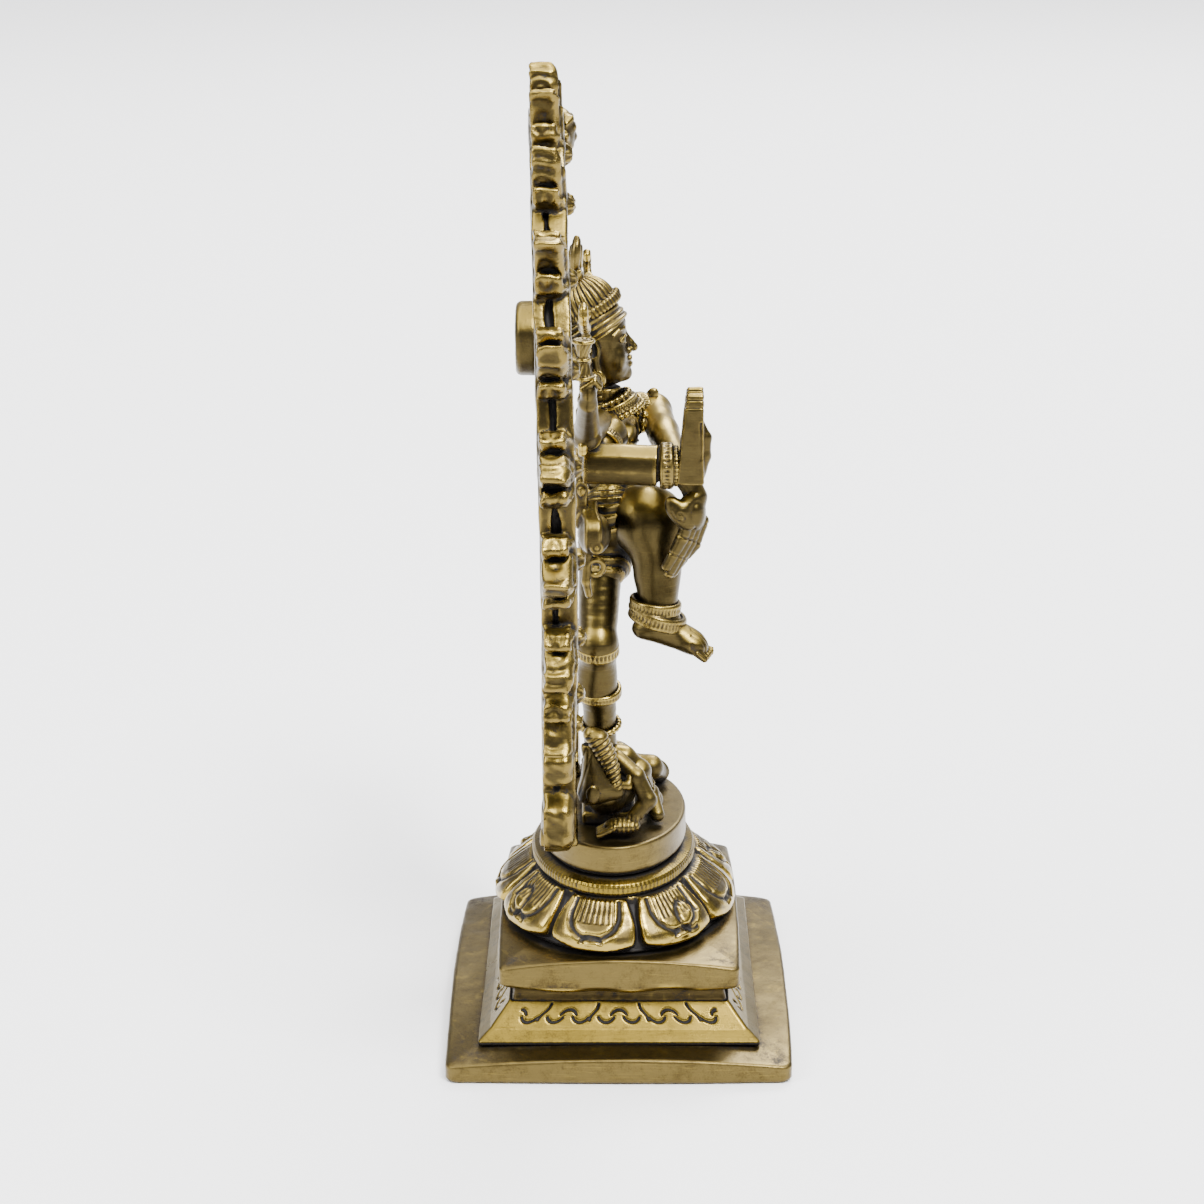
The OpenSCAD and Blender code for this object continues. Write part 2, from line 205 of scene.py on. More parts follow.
def box_blur(a, radius):
    """Mean over a cube of the given radius in cells, done one axis at a time."""
    for axis in range(a.ndim):
        pad = [(0, 0)] * a.ndim
        pad[axis] = (radius + 1, radius)
        total = np.cumsum(np.pad(a, pad, mode="edge"), axis=axis, dtype=np.float64)
        width = 2 * radius + 1
        count = a.shape[axis]
        a = ((np.take(total, range(width, width + count), axis) - np.take(total, range(count), axis))
             / width).astype(np.float32)
    return a


def pick(field, cells):
    """Linear sample of a 3-D field at fractional cell positions."""
    top = np.array(field.shape) - 2
    base = np.clip(np.floor(cells).astype(int), 0, top)
    part = np.clip(cells - base, 0, 1)
    out = 0
    for dx in (0, 1):
        for dy in (0, 1):
            for dz in (0, 1):
                weight = (np.abs(1 - dx - part[:, 0]) * np.abs(1 - dy - part[:, 1])
                          * np.abs(1 - dz - part[:, 2]))
                out = out + field[base[:, 0] + dx, base[:, 1] + dy, base[:, 2] + dz] * weight
    return out


def mark_filled(points, spacing):
    """Notes which cells of the shared shading lattice are inside metal."""
    cells = ((points - shade_low) / SHADE_STEP).astype(int)
    keep = np.all((cells >= 0) & (cells < shade_size), axis=1)
    flat = np.ravel_multi_index(tuple(cells[keep].T), filled.shape)
    share = FULL * (spacing / SHADE_STEP) ** 3
    filled.ravel()[:] += np.bincount(flat, minlength=filled.size).astype(np.float32) * share


def make_mesh(name, points, quads, relief, nodes, slot):
    """Makes the Blender object of one piece and joins it to the frame."""
    mesh = bpy.data.meshes.new(name)
    mesh.from_pydata((points * MM).tolist(), [], quads if isinstance(quads, list) else quads.tolist())
    mesh.polygons.foreach_set("use_smooth", [True] * len(mesh.polygons))
    mesh.attributes.new("relief", "FLOAT", "POINT").data.foreach_set("value", relief.astype(np.float32))
    mesh.validate()
    mesh.update()
    piece = bpy.data.objects.new(name, mesh)
    bpy.context.scene.collection.objects.link(piece)
    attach(piece, "root")
    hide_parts(*nodes)
    pieces.append((piece, slot))
    return piece


def sculpt(name, shape, low, high, step, nodes, slot, relief_size=0.55, relief_scale=0.07):
    """Meshes the zero surface of shape(P) inside the box, with how raised each point is."""
    step = step * COARSE
    P = lattice(low, high, step)
    size = tuple(p.size for p in P)
    d = np.broadcast_to(shape(P), size).astype(np.float32)
    for axis in range(3):
        edge = [slice(None)] * 3
        for end in (0, -1):
            edge[axis] = end
            d[tuple(edge)] = np.maximum(d[tuple(edge)], step)
    band = np.clip(d / step, -3, 3).astype(np.float32)
    grid = openvdb.FloatGrid(3.0)
    grid.copyFromArray(band)
    cells, quads = grid.convertToQuads(0.0)
    radius = max(1, round(relief_size / step / 2))
    blurred = box_blur(box_blur(d, radius), radius)
    relief = pick(blurred - d, cells) / relief_scale
    thin = max(1, int(0.42 / step))
    inside = np.argwhere(d[::thin, ::thin, ::thin] < 0) * (step * thin) + np.array(low)
    jitter = (rng.random(inside.shape) - 0.5) * step * thin
    mark_filled(inside + jitter, step * thin)
    return make_mesh(name, cells * step + np.array(low), quads, relief, nodes, slot)


# ---------------------------------------------------------------------------
# Base tiers: an outline swept down a profile, with engraved height on it
# ---------------------------------------------------------------------------

def rounded_rectangle(half, corner, pitch):
    """Unit description of the outline: corner centres' share, offset direction and place along each side."""
    a, b = half[0] - corner, half[1] - corner
    centre, normal, along = [], [], []
    for side in range(4):
        turn = side * math.pi / 2
        out = np.array([math.sin(turn), -math.cos(turn)])
        run = np.array([math.cos(turn), math.sin(turn)])
        span = a if side % 2 == 0 else b
        depth = b if side % 2 == 0 else a
        n = max(2, int(2 * span / pitch))
        for t in np.linspace(-span, span, n):
            centre.append(run * t + out * depth)
            normal.append(out)
            along.append((side, t, span))
        for k in range(1, 8):
            angle = k / 8 * math.pi / 2
            centre.append(run * span + out * depth)
            normal.append(out * math.cos(angle) + run * math.sin(angle))
            along.append((side, span + corner * angle, span))
    return np.array(centre), np.array(normal), np.array(along)


def sweep_profile(profile, pitch):
    """Points along the profile (grow, z) about pitch apart, with their distance along it."""
    p = np.array(profile, float)
    out, dist, s = [p[0]], [0.0], 0.0
    for i in range(len(p) - 1):
        seg = np.linalg.norm(p[i + 1] - p[i])
        n = max(1, int(round(seg / pitch)))
        for k in range(1, n + 1):
            out.append(p[i] + (p[i + 1] - p[i]) * k / n)
            dist.append(s + seg * k / n)
        s += seg
    return np.array(out), np.array(dist)


def wrap_mesh(name, rows, height, nodes, slot, relief_cells=3, relief_scale=0.1):
    """Joins rows of points (level, place, xyz) into a closed skin, pushed out by height."""
    levels, count, _ = rows.shape
    along_u = np.roll(rows, -1, axis=1) - np.roll(rows, 1, axis=1)
    along_v = np.gradient(rows, axis=0)
    normal = np.cross(along_u, along_v)
    normal /= np.maximum(np.linalg.norm(normal, axis=2, keepdims=True), 1e-9)
    points = (rows + normal * height[..., None]).reshape(-1, 3)
    i, j = np.meshgrid(np.arange(levels - 1), np.arange(count), indexing="ij")
    nxt = (j + 1) % count
    quads = np.stack([i * count + j, i * count + nxt, (i + 1) * count + nxt, (i + 1) * count + j], -1)
    faces = quads.reshape(-1, 4).tolist()
    faces.append(list(range(count))[::-1])
    faces.append(list(range((levels - 1) * count, levels * count)))
    tiled = np.concatenate([height[:, -relief_cells * 2:], height, height[:, :relief_cells * 2]], axis=1)
    soft = box_blur(box_blur(tiled.astype(np.float32), relief_cells), relief_cells)
    relief = (height - soft[:, relief_cells * 2:-relief_cells * 2]) / relief_scale
    return make_mesh(name, points, faces, relief.reshape(-1), nodes, slot)


def fill_tier(outline, profile_z, profile_grow):
    """Marks a tier's metal in the shared shading lattice. outline(X, Y, grow) is below 0 inside."""
    axes = [shade_low[i] + SHADE_STEP * (np.arange(shade_size[i]) + 0.5) for i in range(3)]
    order = np.argsort(profile_z, kind="stable")
    level, grow = np.array(profile_z)[order], np.array(profile_grow)[order]
    for k, z in enumerate(axes[2]):
        if level[0] < z < level[-1]:
            near = np.abs(level - z)
            if len(set(level)) == len(level):
                reach = np.interp(z, level, grow)
            else:
                reach = grow[near < near.min() + 0.3].max()
            inside = outline(axes[0][:, None], axes[1][None, :], reach) < 0
            filled[:, :, k][inside] = FULL


def bow_sides(rows, half, top_drop, foot_drop, swell):
    """Lowers the top edge towards the corners, the foot edge towards the middles, and swells the sides."""
    fx, fy = rows[..., 0] / half[0], rows[..., 1] / half[1]
    edge = np.maximum(np.abs(fx), np.abs(fy)) ** 4
    corner = np.minimum(np.abs(fx), np.abs(fy)) ** 2
    z = rows[..., 2]
    low, high = z.min(), z.max()
    share = (z - low) / (high - low)
    rows[..., 2] = z - edge * (top_drop * share * corner + foot_drop * (1 - share) * (1 - corner))
    rows[..., 0] *= 1 + swell / half[0] * (1 - np.clip(fy * fy, 0, 1))
    rows[..., 1] *= 1 + swell / half[1] * (1 - np.clip(fx * fx, 0, 1))


def tier(name, half, corner, profile, engrave, slot, pitch=0.28, bow=None):
    """A rectangular tier; the profile's levels are (growth of the outline, z).

    engrave(rows, side, t, s, z) gives the relief's height in millimetres, with t along the side and
    s along the profile. bow is bow_sides' top_drop, foot_drop and swell.
    """
    pitch = pitch * COARSE
    half = np.array(half, float)
    centre, normal, along = rounded_rectangle(half, corner, pitch)
    levels, s = sweep_profile(profile, pitch)
    rows = np.empty((len(levels), len(centre), 3))
    for k, (grow, z) in enumerate(levels):
        rows[k, :, :2] = centre * (half + grow - corner) / (half - corner) + normal * corner
        rows[k, :, 2] = z
    if bow is not None:
        bow_sides(rows, half, *bow)
    height = engrave(rows, side=along[None, :, 0], t=along[None, :, 1], s=s[:, None], z=levels[:, None, 1])
    fill_tier(lambda X, Y, g: np.maximum(np.abs(X) - half[0] - g, np.abs(Y) - half[1] - g),
              levels[:, 1], levels[:, 0])
    return wrap_mesh(name, rows, np.broadcast_to(height, rows.shape[:2]), [name], slot)


def oval_tier(name, centre_y, profile, engrave, slot, pitch=0.28):
    """An oval tier; the profile's levels are (x radius, y radius, z).

    engrave(rows, u, z, around) gives the relief's height, with u the share of the way round.
    """
    pitch = pitch * COARSE
    knots = np.array(profile, float)
    levels = sweep_profile(knots, pitch)[0]
    fine = np.linspace(0, 2 * math.pi, 2000)
    widest = knots[np.argmax(knots[:, 0])]
    ring = np.stack([widest[0] * np.cos(fine), widest[1] * np.sin(fine)], 1)
    run = np.concatenate([[0], np.cumsum(np.linalg.norm(np.diff(ring, axis=0), axis=1))])
    count = int(run[-1] / pitch)
    angle = np.interp(np.arange(count) / count * run[-1], run, fine)
    rows = np.empty((len(levels), count, 3))
    rows[:, :, 0] = levels[:, None, 0] * np.cos(angle)
    rows[:, :, 1] = centre_y + levels[:, None, 1] * np.sin(angle)
    rows[:, :, 2] = levels[:, None, 2]
    u = np.arange(count) / count
    height = engrave(rows, u=u[None, :], z=levels[:, None, 2], around=run[-1])
    share = widest[1] / widest[0]
    fill_tier(lambda X, Y, g: length(X, (Y - centre_y) / share) - g, levels[:, 2], levels[:, 0])
    return wrap_mesh(name, rows, np.broadcast_to(height, rows.shape[:2]), [name], slot)


# ---------------------------------------------------------------------------
# Base
# ---------------------------------------------------------------------------

def half_of(node):
    low, high = box_mm(node)
    return (high[0] - low[0]) / 2, (high[1] - low[1]) / 2


def hand_filed(rows, seed, amount=0.07):
    """Slow waves and small dents left by filing a flat face by hand."""
    P = [rows[..., i] for i in range(3)]
    return amount * noise(P, 9, seed) + 0.4 * amount * noise(P, 2.6, seed + 1)


def make_bottom_plate():
    half = half_of("bottom_plate")
    top = box_mm("bottom_plate")[1][2]

    def engrave(rows, **_):
        return hand_filed(rows, 3, 0.1)

    return tier("bottom_plate", half, 1.8,
                [(-6, 0), (-0.9, 0), (-0.2, 0.35), (0, 1), (0, top - 0.5), (-0.12, top - 0.14), (-0.5, top),
                 (-9, top)],
                engrave, "satin_brass", bow=(1.7, 0, 0.6))


def arc_line(u, v, centre_u, centre_v, radius, up):
    """Distance from the shallow top or bottom stretch of a circle's line."""
    rise = (v - centre_v) * (1 if up else -1)
    return np.abs(length(u - centre_u, v - centre_v) - radius) + 3 * np.clip(0.45 * radius - rise, 0, 1)


def scroll(t, v, period, tall):
    """Engraved running scroll of cups, arches and slanted stems, mirrored about the side's middle."""
    u = (np.abs(t) + 0.5 * period) % period - period / 2
    reach = period * 0.25
    cup_at = tall * 0.62
    cups = np.minimum(arc_line(u, v, -reach, cup_at, 1.8, False), arc_line(u, v, reach, cup_at, 1.8, False))
    arch = arc_line(u, v, 0, tall * 0.34, 1.8, True)
    stem_u = (np.abs(t) % period) - period / 2
    curve = 0.75 * np.tanh((v - tall * 0.6) * 1.3)
    stem = np.abs(stem_u + curve) / 1.2 + 3 * np.clip(np.abs(v - tall * 0.62) - tall * 0.3, 0, 1)
    cut = np.minimum(np.minimum(arch, cups), stem)
    return -line_cut(cut, 0.17, 0.5)


def make_scroll_moulding():
    low, high = box_mm("scroll_moulding")
    half = half_of("scroll_moulding")
    base, top = low[2], high[2]
    slope_foot = (-1.9, base + 2.0)
    slope_top = (-5.1, top)
    tall = math.dist(slope_foot, slope_top)
    start = 1.2 + 0.6 + math.dist((0, base + 0.6), slope_foot)

    def engrave(rows, side, t, s, **_):
        v = s - start
        on_slope = (v > 0) & (v < tall)
        span = np.where(side % 2 == 0, half[0], half[1]) - 3.6
        count = np.round(span / 8.5) * 2
        cut = np.where(on_slope & (np.abs(t) < span), scroll(t, v, 2 * span / count, tall), 0)
        return hand_filed(rows, 5, 0.06) + cut

    return tier("scroll_moulding", half, 0.7,
                [(-1.2, base), (0, base), (0, base + 0.6), slope_foot, slope_top, (-7.5, top)],
                engrave, "engraved_brass", pitch=0.2)


def make_neck_block():
    low, high = box_mm("neck_block")

    def engrave(rows, **_):
        P = [rows[..., i] for i in range(3)]
        return hand_filed(rows, 7, 0.12) + 0.07 * noise(P, 0.7, 4)

    mid = (low[2] + high[2]) / 2
    return tier("neck_block", half_of("neck_block"), 0.8,
                [(-3, low[2]), (0, low[2]), (-0.35, mid - 0.4), (-0.35, mid + 0.4), (-0.1, high[2]),
                 (-3, high[2])],
                engrave, "neck_brass", pitch=0.4)


def make_upper_slab():
    low, high = box_mm("upper_slab")
    half = half_of("upper_slab")
    top = high[2]

    def engrave(rows, z, **_):
        P = [rows[..., i] for i in range(3)]
        ragged = 0.35 * noise((P[0], P[1], P[2] * 0 + 1), 6, 9) * (z < low[2] + 1)
        return hand_filed(rows, 8, 0.09) + ragged

    return tier("upper_slab", half, 1.3,
                [(-3.5, low[2]), (-1.3, low[2]), (-0.4, low[2] + 0.5), (0, low[2] + 1.2), (0, top - 0.4),
                 (-0.1, top - 0.12), (-0.45, top), (-11, top)],
                engrave, "satin_brass", bow=(2.0, 0.9, 0.5))


PETALS = 9


def petal_height(u, v, odd):
    """Height of one petal: u runs from -1 to 1 across it, v from 0 at the lower edge to 1 at the throat."""
    wide = 0.9 + 0.12 * np.sin(np.clip(v, 0, 1) * math.pi)
    reach = np.clip((wide - np.abs(u)) / 0.13, 0, 1)
    reach = reach * reach * (3 - 2 * reach)
    foot = np.clip((v - 0.16 * np.abs(u) ** 2.2 + 0.02) / 0.1, 0, 1)
    dome = 1.35 * np.sqrt(np.clip(1 - (np.abs(u) / 1.15) ** 2.4, 0, 1))
    swell = dome * (0.45 + 0.75 * np.exp(-((v - 0.3) / 0.34) ** 2))
    h = -0.8 + (0.8 + swell) * reach * foot
    cup_low = length(u / 0.6, (v - 0.78) / 0.5) - 1
    cup = np.where(v < 0.78, cup_low * 0.6, np.abs(u) - 0.6)
    h = h - line_cut(cup, 0.06, 0.5) * (v < 0.97) * (v > 0.1)
    hatch = (np.abs(u) < 0.5) & (v > 0.55)
    h = h - 0.16 * hatch * (0.5 - 0.5 * np.cos(u * 2 * math.pi / 0.13)) ** 2
    eye = length(u / 0.2, (v - 0.22) / 0.12)
    h = h - line_cut(eye - 1, 0.22, 0.34) * (v > 0.2) + 0.25 * np.exp(-(eye * 1.9) ** 2)
    far = length((u - 0.3 * odd) / 0.3, (v - 0.5) / 0.26)
    hook = np.abs(far - 1) * 0.26 + 1.0 * ((u - 0.3 * odd) * odd > 0.12) * (v < 0.5)
    dot = np.exp(-(far / 0.35) ** 2)
    return h + (odd != 0) * (0.25 * dot - line_cut(hook, 0.05, 0.45))


def make_lotus_pedestal():
    low, high = box_mm("lotus_pedestal")
    rx, ry = half_of("lotus_pedestal")
    throat = box_mm("ribbed_ring")
    tx, ty = half_of("ribbed_ring")
    centre = (throat[0][1] + throat[1][1]) / 2 * 0.6
    base, top = low[2], high[2]

    def engrave(rows, u, z, **_):
        v = (z - base - 0.4) / (top - base - 0.9)
        place = u * PETALS + 0.25
        index = np.floor(place)
        across = (place - index) * 2 - 1
        order = index % PETALS
        odd = np.where(order % 2 == 0, 0, np.where(order % 4 == 1, 1, -1))
        h = petal_height(across, v, odd)
        body = np.clip((v + 0.04) / 0.1, 0, 1) * np.clip((1.04 - v) / 0.1, 0, 1)
        P = [rows[..., i] for i in range(3)]
        return h * body + 0.09 * noise(P, 2.4, 12) + 0.04 * noise(P, 0.9, 13)

    shrink = [(0.0, 0.05), (0.03, 0.15), (0.12, 0.32), (0.28, 0.5), (0.5, 0.68), (0.76, 0.84), (0.97, 0.97)]
    levels = [(rx - 3.4, ry - 3.4, base), (rx - 1.2, ry - 1.2, base), (rx - 0.4, ry - 0.4, base + 0.3)]
    levels += [(rx - k * (rx - tx + 0.6), ry - k * (ry - ty + 0.6), base + f * (top - base))
               for k, f in shrink]
    levels += [(tx - 2.5, ty - 2.5, top)]
    return oval_tier("lotus_pedestal", centre, levels, engrave, "lotus_brass", pitch=0.2)


def make_ribbed_ring():
    low, high = box_mm("ribbed_ring")
    rx, ry = half_of("ribbed_ring")
    base, top = low[2], high[2]

    def engrave(rows, u, z, around):
        count = round(around / 0.85)
        belly = np.exp(-((z - base - 1.35) / 0.8) ** 2)
        P = [rows[..., i] for i in range(3)]
        return -0.16 * (0.5 + 0.5 * np.cos(u * 2 * math.pi * count)) * belly + 0.08 * noise(P, 4, 15)

    return oval_tier("ribbed_ring", (low[1] + high[1]) / 2,
                     [(rx - 3, ry - 3, base), (rx - 0.5, ry - 0.5, base),
                      (rx, ry, base + 0.7), (rx, ry, base + 1.6),
                      (rx - 0.4, ry - 0.4, base + 2.2), (rx - 1.9, ry - 1.9, top - 0.25),
                      (rx - 4, ry - 4, top - 0.25)],
                     engrave, "engraved_brass", pitch=0.2)


def make_drum():
    low, high = box_mm("drum")
    rx, ry = half_of("drum")
    base, top = low[2], high[2]

    def engrave(rows, **_):
        return hand_filed(rows, 17, 0.08)

    return oval_tier("drum", (low[1] + high[1]) / 2,
                     [(rx - 4, ry - 4, base), (rx - 0.9, ry - 0.9, base), (rx - 0.9, ry - 0.9, base + 0.35),
                      (rx - 0.15, ry - 0.15, base + 0.75), (rx, ry, base + 1.4),
                      (rx - 0.1, ry - 0.1, top - 0.5),
                      (rx - 0.22, ry - 0.22, top - 0.15), (rx - 0.6, ry - 0.6, top), (5, 3, top)],
                     engrave, "satin_brass")


make_bottom_plate()
make_scroll_moulding()
make_neck_block()
make_upper_slab()
make_lotus_pedestal()
make_ribbed_ring()
make_drum()

# ---------------------------------------------------------------------------
# Landmarks of the figure, measured from the deck it stands on
# ---------------------------------------------------------------------------

def above_deck(x, y, rise):
    return np.array([x, y, deck + rise])


HIP = above_deck(-4, 3.0, 50.2)
KNEE = above_deck(-12.3, 3.6, 33.2)
ANKLE = above_deck(-7.5, 3.2, 15.7)
RAISED_HIP = above_deck(4.5, 0.8, 52.6)
RAISED_KNEE = above_deck(-9.8, -4.9, 53.9)
RAISED_ANKLE = above_deck(-14, -6.4, 40)
SHOULDER = above_deck(-8, 1.8, 68.3)
ELBOW = above_deck(-19, 4.3, 66.5)
WRIST = above_deck(-19.6, -7.2, 66.2)
FAR_SHOULDER = above_deck(8, 1.2, 68.3)
FAR_ELBOW = above_deck(12.2, -6, 67.7)
FAR_WRIST = above_deck(-15.9, -10.4, 63.6)
UPPER_SHOULDER = above_deck(8.2, 3.6, 70.1)
UPPER_ELBOW = above_deck(24, 5.2, 72.4)
UPPER_WRIST = above_deck(33.6, 4.8, 79.6)
CHIN = above_deck(0, 2.8, 75.4)
HEAD_SCALE = 1.22
HEAD_LEAN = (-9, 0, 0)


def ribs(angle, count, depth):
    """Ribs round a ring, as an amount to add to a field."""
    return depth * (0.5 - 0.5 * np.cos(angle * count)) ** 2


def round_axis(P, a, b):
    """Angle round the line from a to b, distance along it and from it."""
    a, b = np.array(a, float), np.array(b, float)
    n = (b - a) / np.linalg.norm(b - a)
    side = np.cross(n, [0.31, 0.17, 0.93])
    side /= np.linalg.norm(side)
    other = np.cross(n, side)
    q = [P[i] - a[i] for i in range(3)]
    u = sum(q[i] * side[i] for i in range(3))
    v = sum(q[i] * other[i] for i in range(3))
    t = sum(q[i] * n[i] for i in range(3))
    return np.arctan2(v, u), t, length(u, v)


def ribbed_band(P, a, b, share, radius, width, thick, count):
    """A bracelet at share of the way from a to b: two cords with a ribbed strip between them."""
    a, b = np.array(a, float), np.array(b, float)
    size = np.linalg.norm(b - a)
    angle, t, r = round_axis(P, a, b)
    t = t - share * size
    strip = np.maximum(np.abs(t) - width / 2, np.abs(r - radius) - thick / 2)
    strip = strip + ribs(angle, count, 0.28)
    cords = length(np.abs(t) - width / 2, r - radius) - thick * 0.5
    return melt(0.15, strip, cords)


def bead_ring(P, a, b, share, radius, bead, count):
    """Beads strung round a limb at share of the way from a to b."""
    a, b = np.array(a, float), np.array(b, float)
    angle, t, r = round_axis(P, a, b)
    t = t - share * np.linalg.norm(b - a)
    step = 2 * math.pi / count
    off = ((angle + step / 2) % step - step / 2) * radius
    return melt(0.1, length(off, t, r - radius) - bead, length(t, r - radius) - bead * 0.5)


def faceted_rod(P, a, b, radius, facets, phase, edge=0.35):
    """A rod filed to flats."""
    angle, t, r = round_axis(P, a, b)
    size = math.dist(a, b)
    step = 2 * math.pi / facets
    local = (angle + phase) % step - step / 2
    d = r * np.cos(local) - radius * math.cos(step / 2) * 1.06
    d = -melt(edge, -d, radius - r)
    return np.maximum(d, np.maximum(-t, t - size))


# ---------------------------------------------------------------------------
# Flame arch
# ---------------------------------------------------------------------------

FLAME_REACH = arch_high[0]
ring_z = arch_high[2] - FLAME_REACH
BAND_IN, BAND_OUT = 47.5, 53.5
BAND_HALF = 2.7
FLAMES = 17
FLAME_PITCH = math.radians(16.5)
BAND_END = math.radians(58)
FOOT_X = 16.4


def lean(X, Z):
    """How far the hand-set arch stands back from its upright plane."""
    rise = np.clip(Z - deck, 0, None)
    return 0.017 * rise + 0.034 * X * np.clip(rise / 45, 0, 1)


def flame_outline(u, v):
    """Plane distance of one flame: a bent middle tongue between two curling side tongues."""
    Q = (u, v, 0 * u)
    middle = chain(Q, [(0, -1.5, 0), (0.25, 1.6, 0), (-0.35, 4.1, 0), (-0.15, 6.3, 0), (0.75, 8.2, 0)],
                   [2.7, 2.4, 1.75, 0.95, 0.2], 0.9)
    fold = (np.abs(u), v, 0 * u)
    side = chain(fold, [(2.4, -1.5, 0), (3.9, 0.6, 0), (4.3, 2.2, 0), (3.7, 3.5, 0), (2.9, 3.4, 0)],
                 [1.7, 1.25, 0.9, 0.6, 0.4], 0.4)
    return np.minimum(middle, side), middle, side


def flame_ring(w, angle, R, P):
    """Flames round the band, each a little different from the next."""
    index = np.clip(np.round(angle / FLAME_PITCH), -(FLAMES // 2), FLAMES // 2)
    chance = np.sin(index * 12.9 + 0.7)
    u = (angle - index * FLAME_PITCH) * (BAND_OUT + 2) + 0.45 * noise(P, 5, 51)
    v = (R - BAND_OUT) * (1 + 0.07 * chance) + 0.35 * noise(P, 4, 52)
    u = u * np.where(index % 2 == 0, 1, -1) * (1 + 0.08 * chance)
    flame, middle, side = flame_outline(u, v)
    swell = 0.8 + 2.0 * np.sqrt(np.clip(-flame / 1.5, 0, 1))
    vein = line_cut(middle + 1.1, 0.16, 0.45) * (v > 0.6) + line_cut(side + 0.62, 0.14, 0.4)
    d = np.maximum(flame, np.maximum(-w - swell + vein, w - BAND_HALF + 0.25))
    lick = length(w * 0.9 - 0.6, (v - 3.4) * 0.8) + 0.5 * u
    d = d + 0.24 * (0.5 + 0.5 * np.cos(lick * 2 * math.pi / 1.5)) ** 2 * np.clip(w + 1.4, 0, 1)
    hollow = egg((np.abs(u) - 2.5, w, v), (0, 0.2, 2.3), (0.75, 1.75, 1.5))
    return carve(d, hollow, 0.3)


def arch_leg_frame(X, Z):
    """Distance along a leg from the band's end, and across it, outwards being positive."""
    mid = (BAND_IN + BAND_OUT) / 2
    top = np.array([math.cos(BAND_END) * mid, -math.sin(BAND_END) * mid])
    run = np.array([FOOT_X, deck - ring_z]) - top
    run /= np.linalg.norm(run)
    fx, fz = np.abs(X) - top[0], Z - ring_z - top[1]
    return fx * run[0] + fz * run[1], fz * run[0] - fx * run[1]


def arch_shape(P):
    X, Y, Z = P
    w = Y - arch_mid_y - lean(X, Z)
    z = Z - ring_z
    R = length(X, z)
    angle = np.arctan2(X, z)
    mid = (BAND_IN + BAND_OUT) / 2
    half = (BAND_OUT - BAND_IN) / 2
    flames = flame_ring(w, angle, R, P)

    end = np.abs(angle) - math.pi / 2 - BAND_END
    band = np.maximum(np.abs(R - mid) - half, end * mid)
    along, across = arch_leg_frame(X, Z)
    out_side = np.where(band < 0, R - mid, across)
    leg = np.maximum(np.abs(across) - half, np.maximum(-along - 1.6, deck - Z))
    plan = melt(0.4, band, leg)
    depth = -plan
    rim = np.exp(-((depth - 0.75) / 0.5) ** 2)
    channel = np.clip((depth - 1.1) / 0.35, 0, 1)
    run = np.where(band < leg, angle * mid, along + 40)
    bead_at = (run + 0.8) % 1.6 - 0.8
    bead = np.sqrt(np.clip(0.62 - bead_at ** 2 - (depth - 3.0) ** 2, 0, 1)) * 1.3
    front = BAND_HALF - 0.75 * channel + 0.25 * rim + bead * np.where(band < leg, 1, 0.5)
    body = np.maximum(plan, np.maximum(-w - front, w - BAND_HALF))
    slot = length(np.maximum(half - 0.7 - out_side, 0),
                  w - 0.35 - 0.4 * noise(P, 6, 53)) - 0.5 - 0.35 * noise(P, 3, 55)
    body = carve(body, slot, 0.3)

    local = angle - np.round(angle / FLAME_PITCH) * FLAME_PITCH
    rosette = length(local * mid, R - mid, (w + BAND_HALF) / 0.9)
    rosette = rosette - 1.7 - 0.22 * np.cos(np.arctan2(R - mid, local * mid) * 7)
    rosette = np.maximum(rosette, end * mid)

    low_u, low_v = along - 17.6, across - half
    curl = chain((low_u, low_v, 0 * low_u),
                 [(-3.4, -1.5, 0), (-2.2, 2.4, 0), (1.0, 4.4, 0), (4.0, 3.0, 0), (3.4, 0.9, 0)],
                 [2.0, 2.2, 1.8, 1.2, 0.7], 0.8)
    high_u, high_v = along - 5.2, across - half
    bud = chain((high_u, high_v, 0 * high_u), [(-2, -1.5, 0), (-0.8, 1.8, 0), (1.6, 2.6, 0), (3.4, 1.2, 0)],
                [1.9, 1.7, 1.2, 0.6], 0.6)
    leg_flames = np.minimum(curl, bud)
    swell = 1.0 + 1.6 * np.sqrt(np.clip(-leg_flames / 1.4, 0, 1))
    scratch = line_cut(np.abs(leg_flames + 0.8), 0.16, 0.4)
    ripple = 0.1 * (0.5 + 0.5 * np.cos((low_u + 0.8 * w + noise(P, 5, 56)) * 2 * math.pi / 2.1)) ** 2
    leg_flames = np.maximum(leg_flames + scratch + ripple, np.maximum(-w - swell, w - BAND_HALF + 0.2))
    block = brick((np.abs(X), Y, Z), (FOOT_X, arch_mid_y + 0.1, deck + 1.6), (3.7, 3.0, 1.7), 0.5)
    block = block + 0.3 * noise(P, 1.3, 54)

    face = (np.abs(X), w + BAND_HALF, z - mid + 0.5)
    mask = egg(face, (0, -0.2, 0), (3.6, 1.9, 3.8))
    mask = melt(0.25, mask, egg(face, (1.35, -1.6, 0.9), (0.85, 0.75, 0.8)),
                egg(face, (0.6, -1.9, -0.7), (0.7, 0.6, 0.6)),
                chain(face, [(0.5, -1.5, 2.1), (1.9, -1.5, 2.4), (3.3, -0.6, 1.6)], [0.4, 0.45, 0.35], 0.2),
                chain(face, [(0.2, -1.4, -2.2), (1.6, -1.2, -2.3), (2.9, -0.7, -1.2), (3.9, -0.6, -0.2)],
                      [0.45, 0.5, 0.45, 0.6], 0.2))
    out = melt(0.35, flames, body, rosette)
    return melt(0.4, out, leg_flames, mask, block) + cast_skin(P, 0.14, 2)


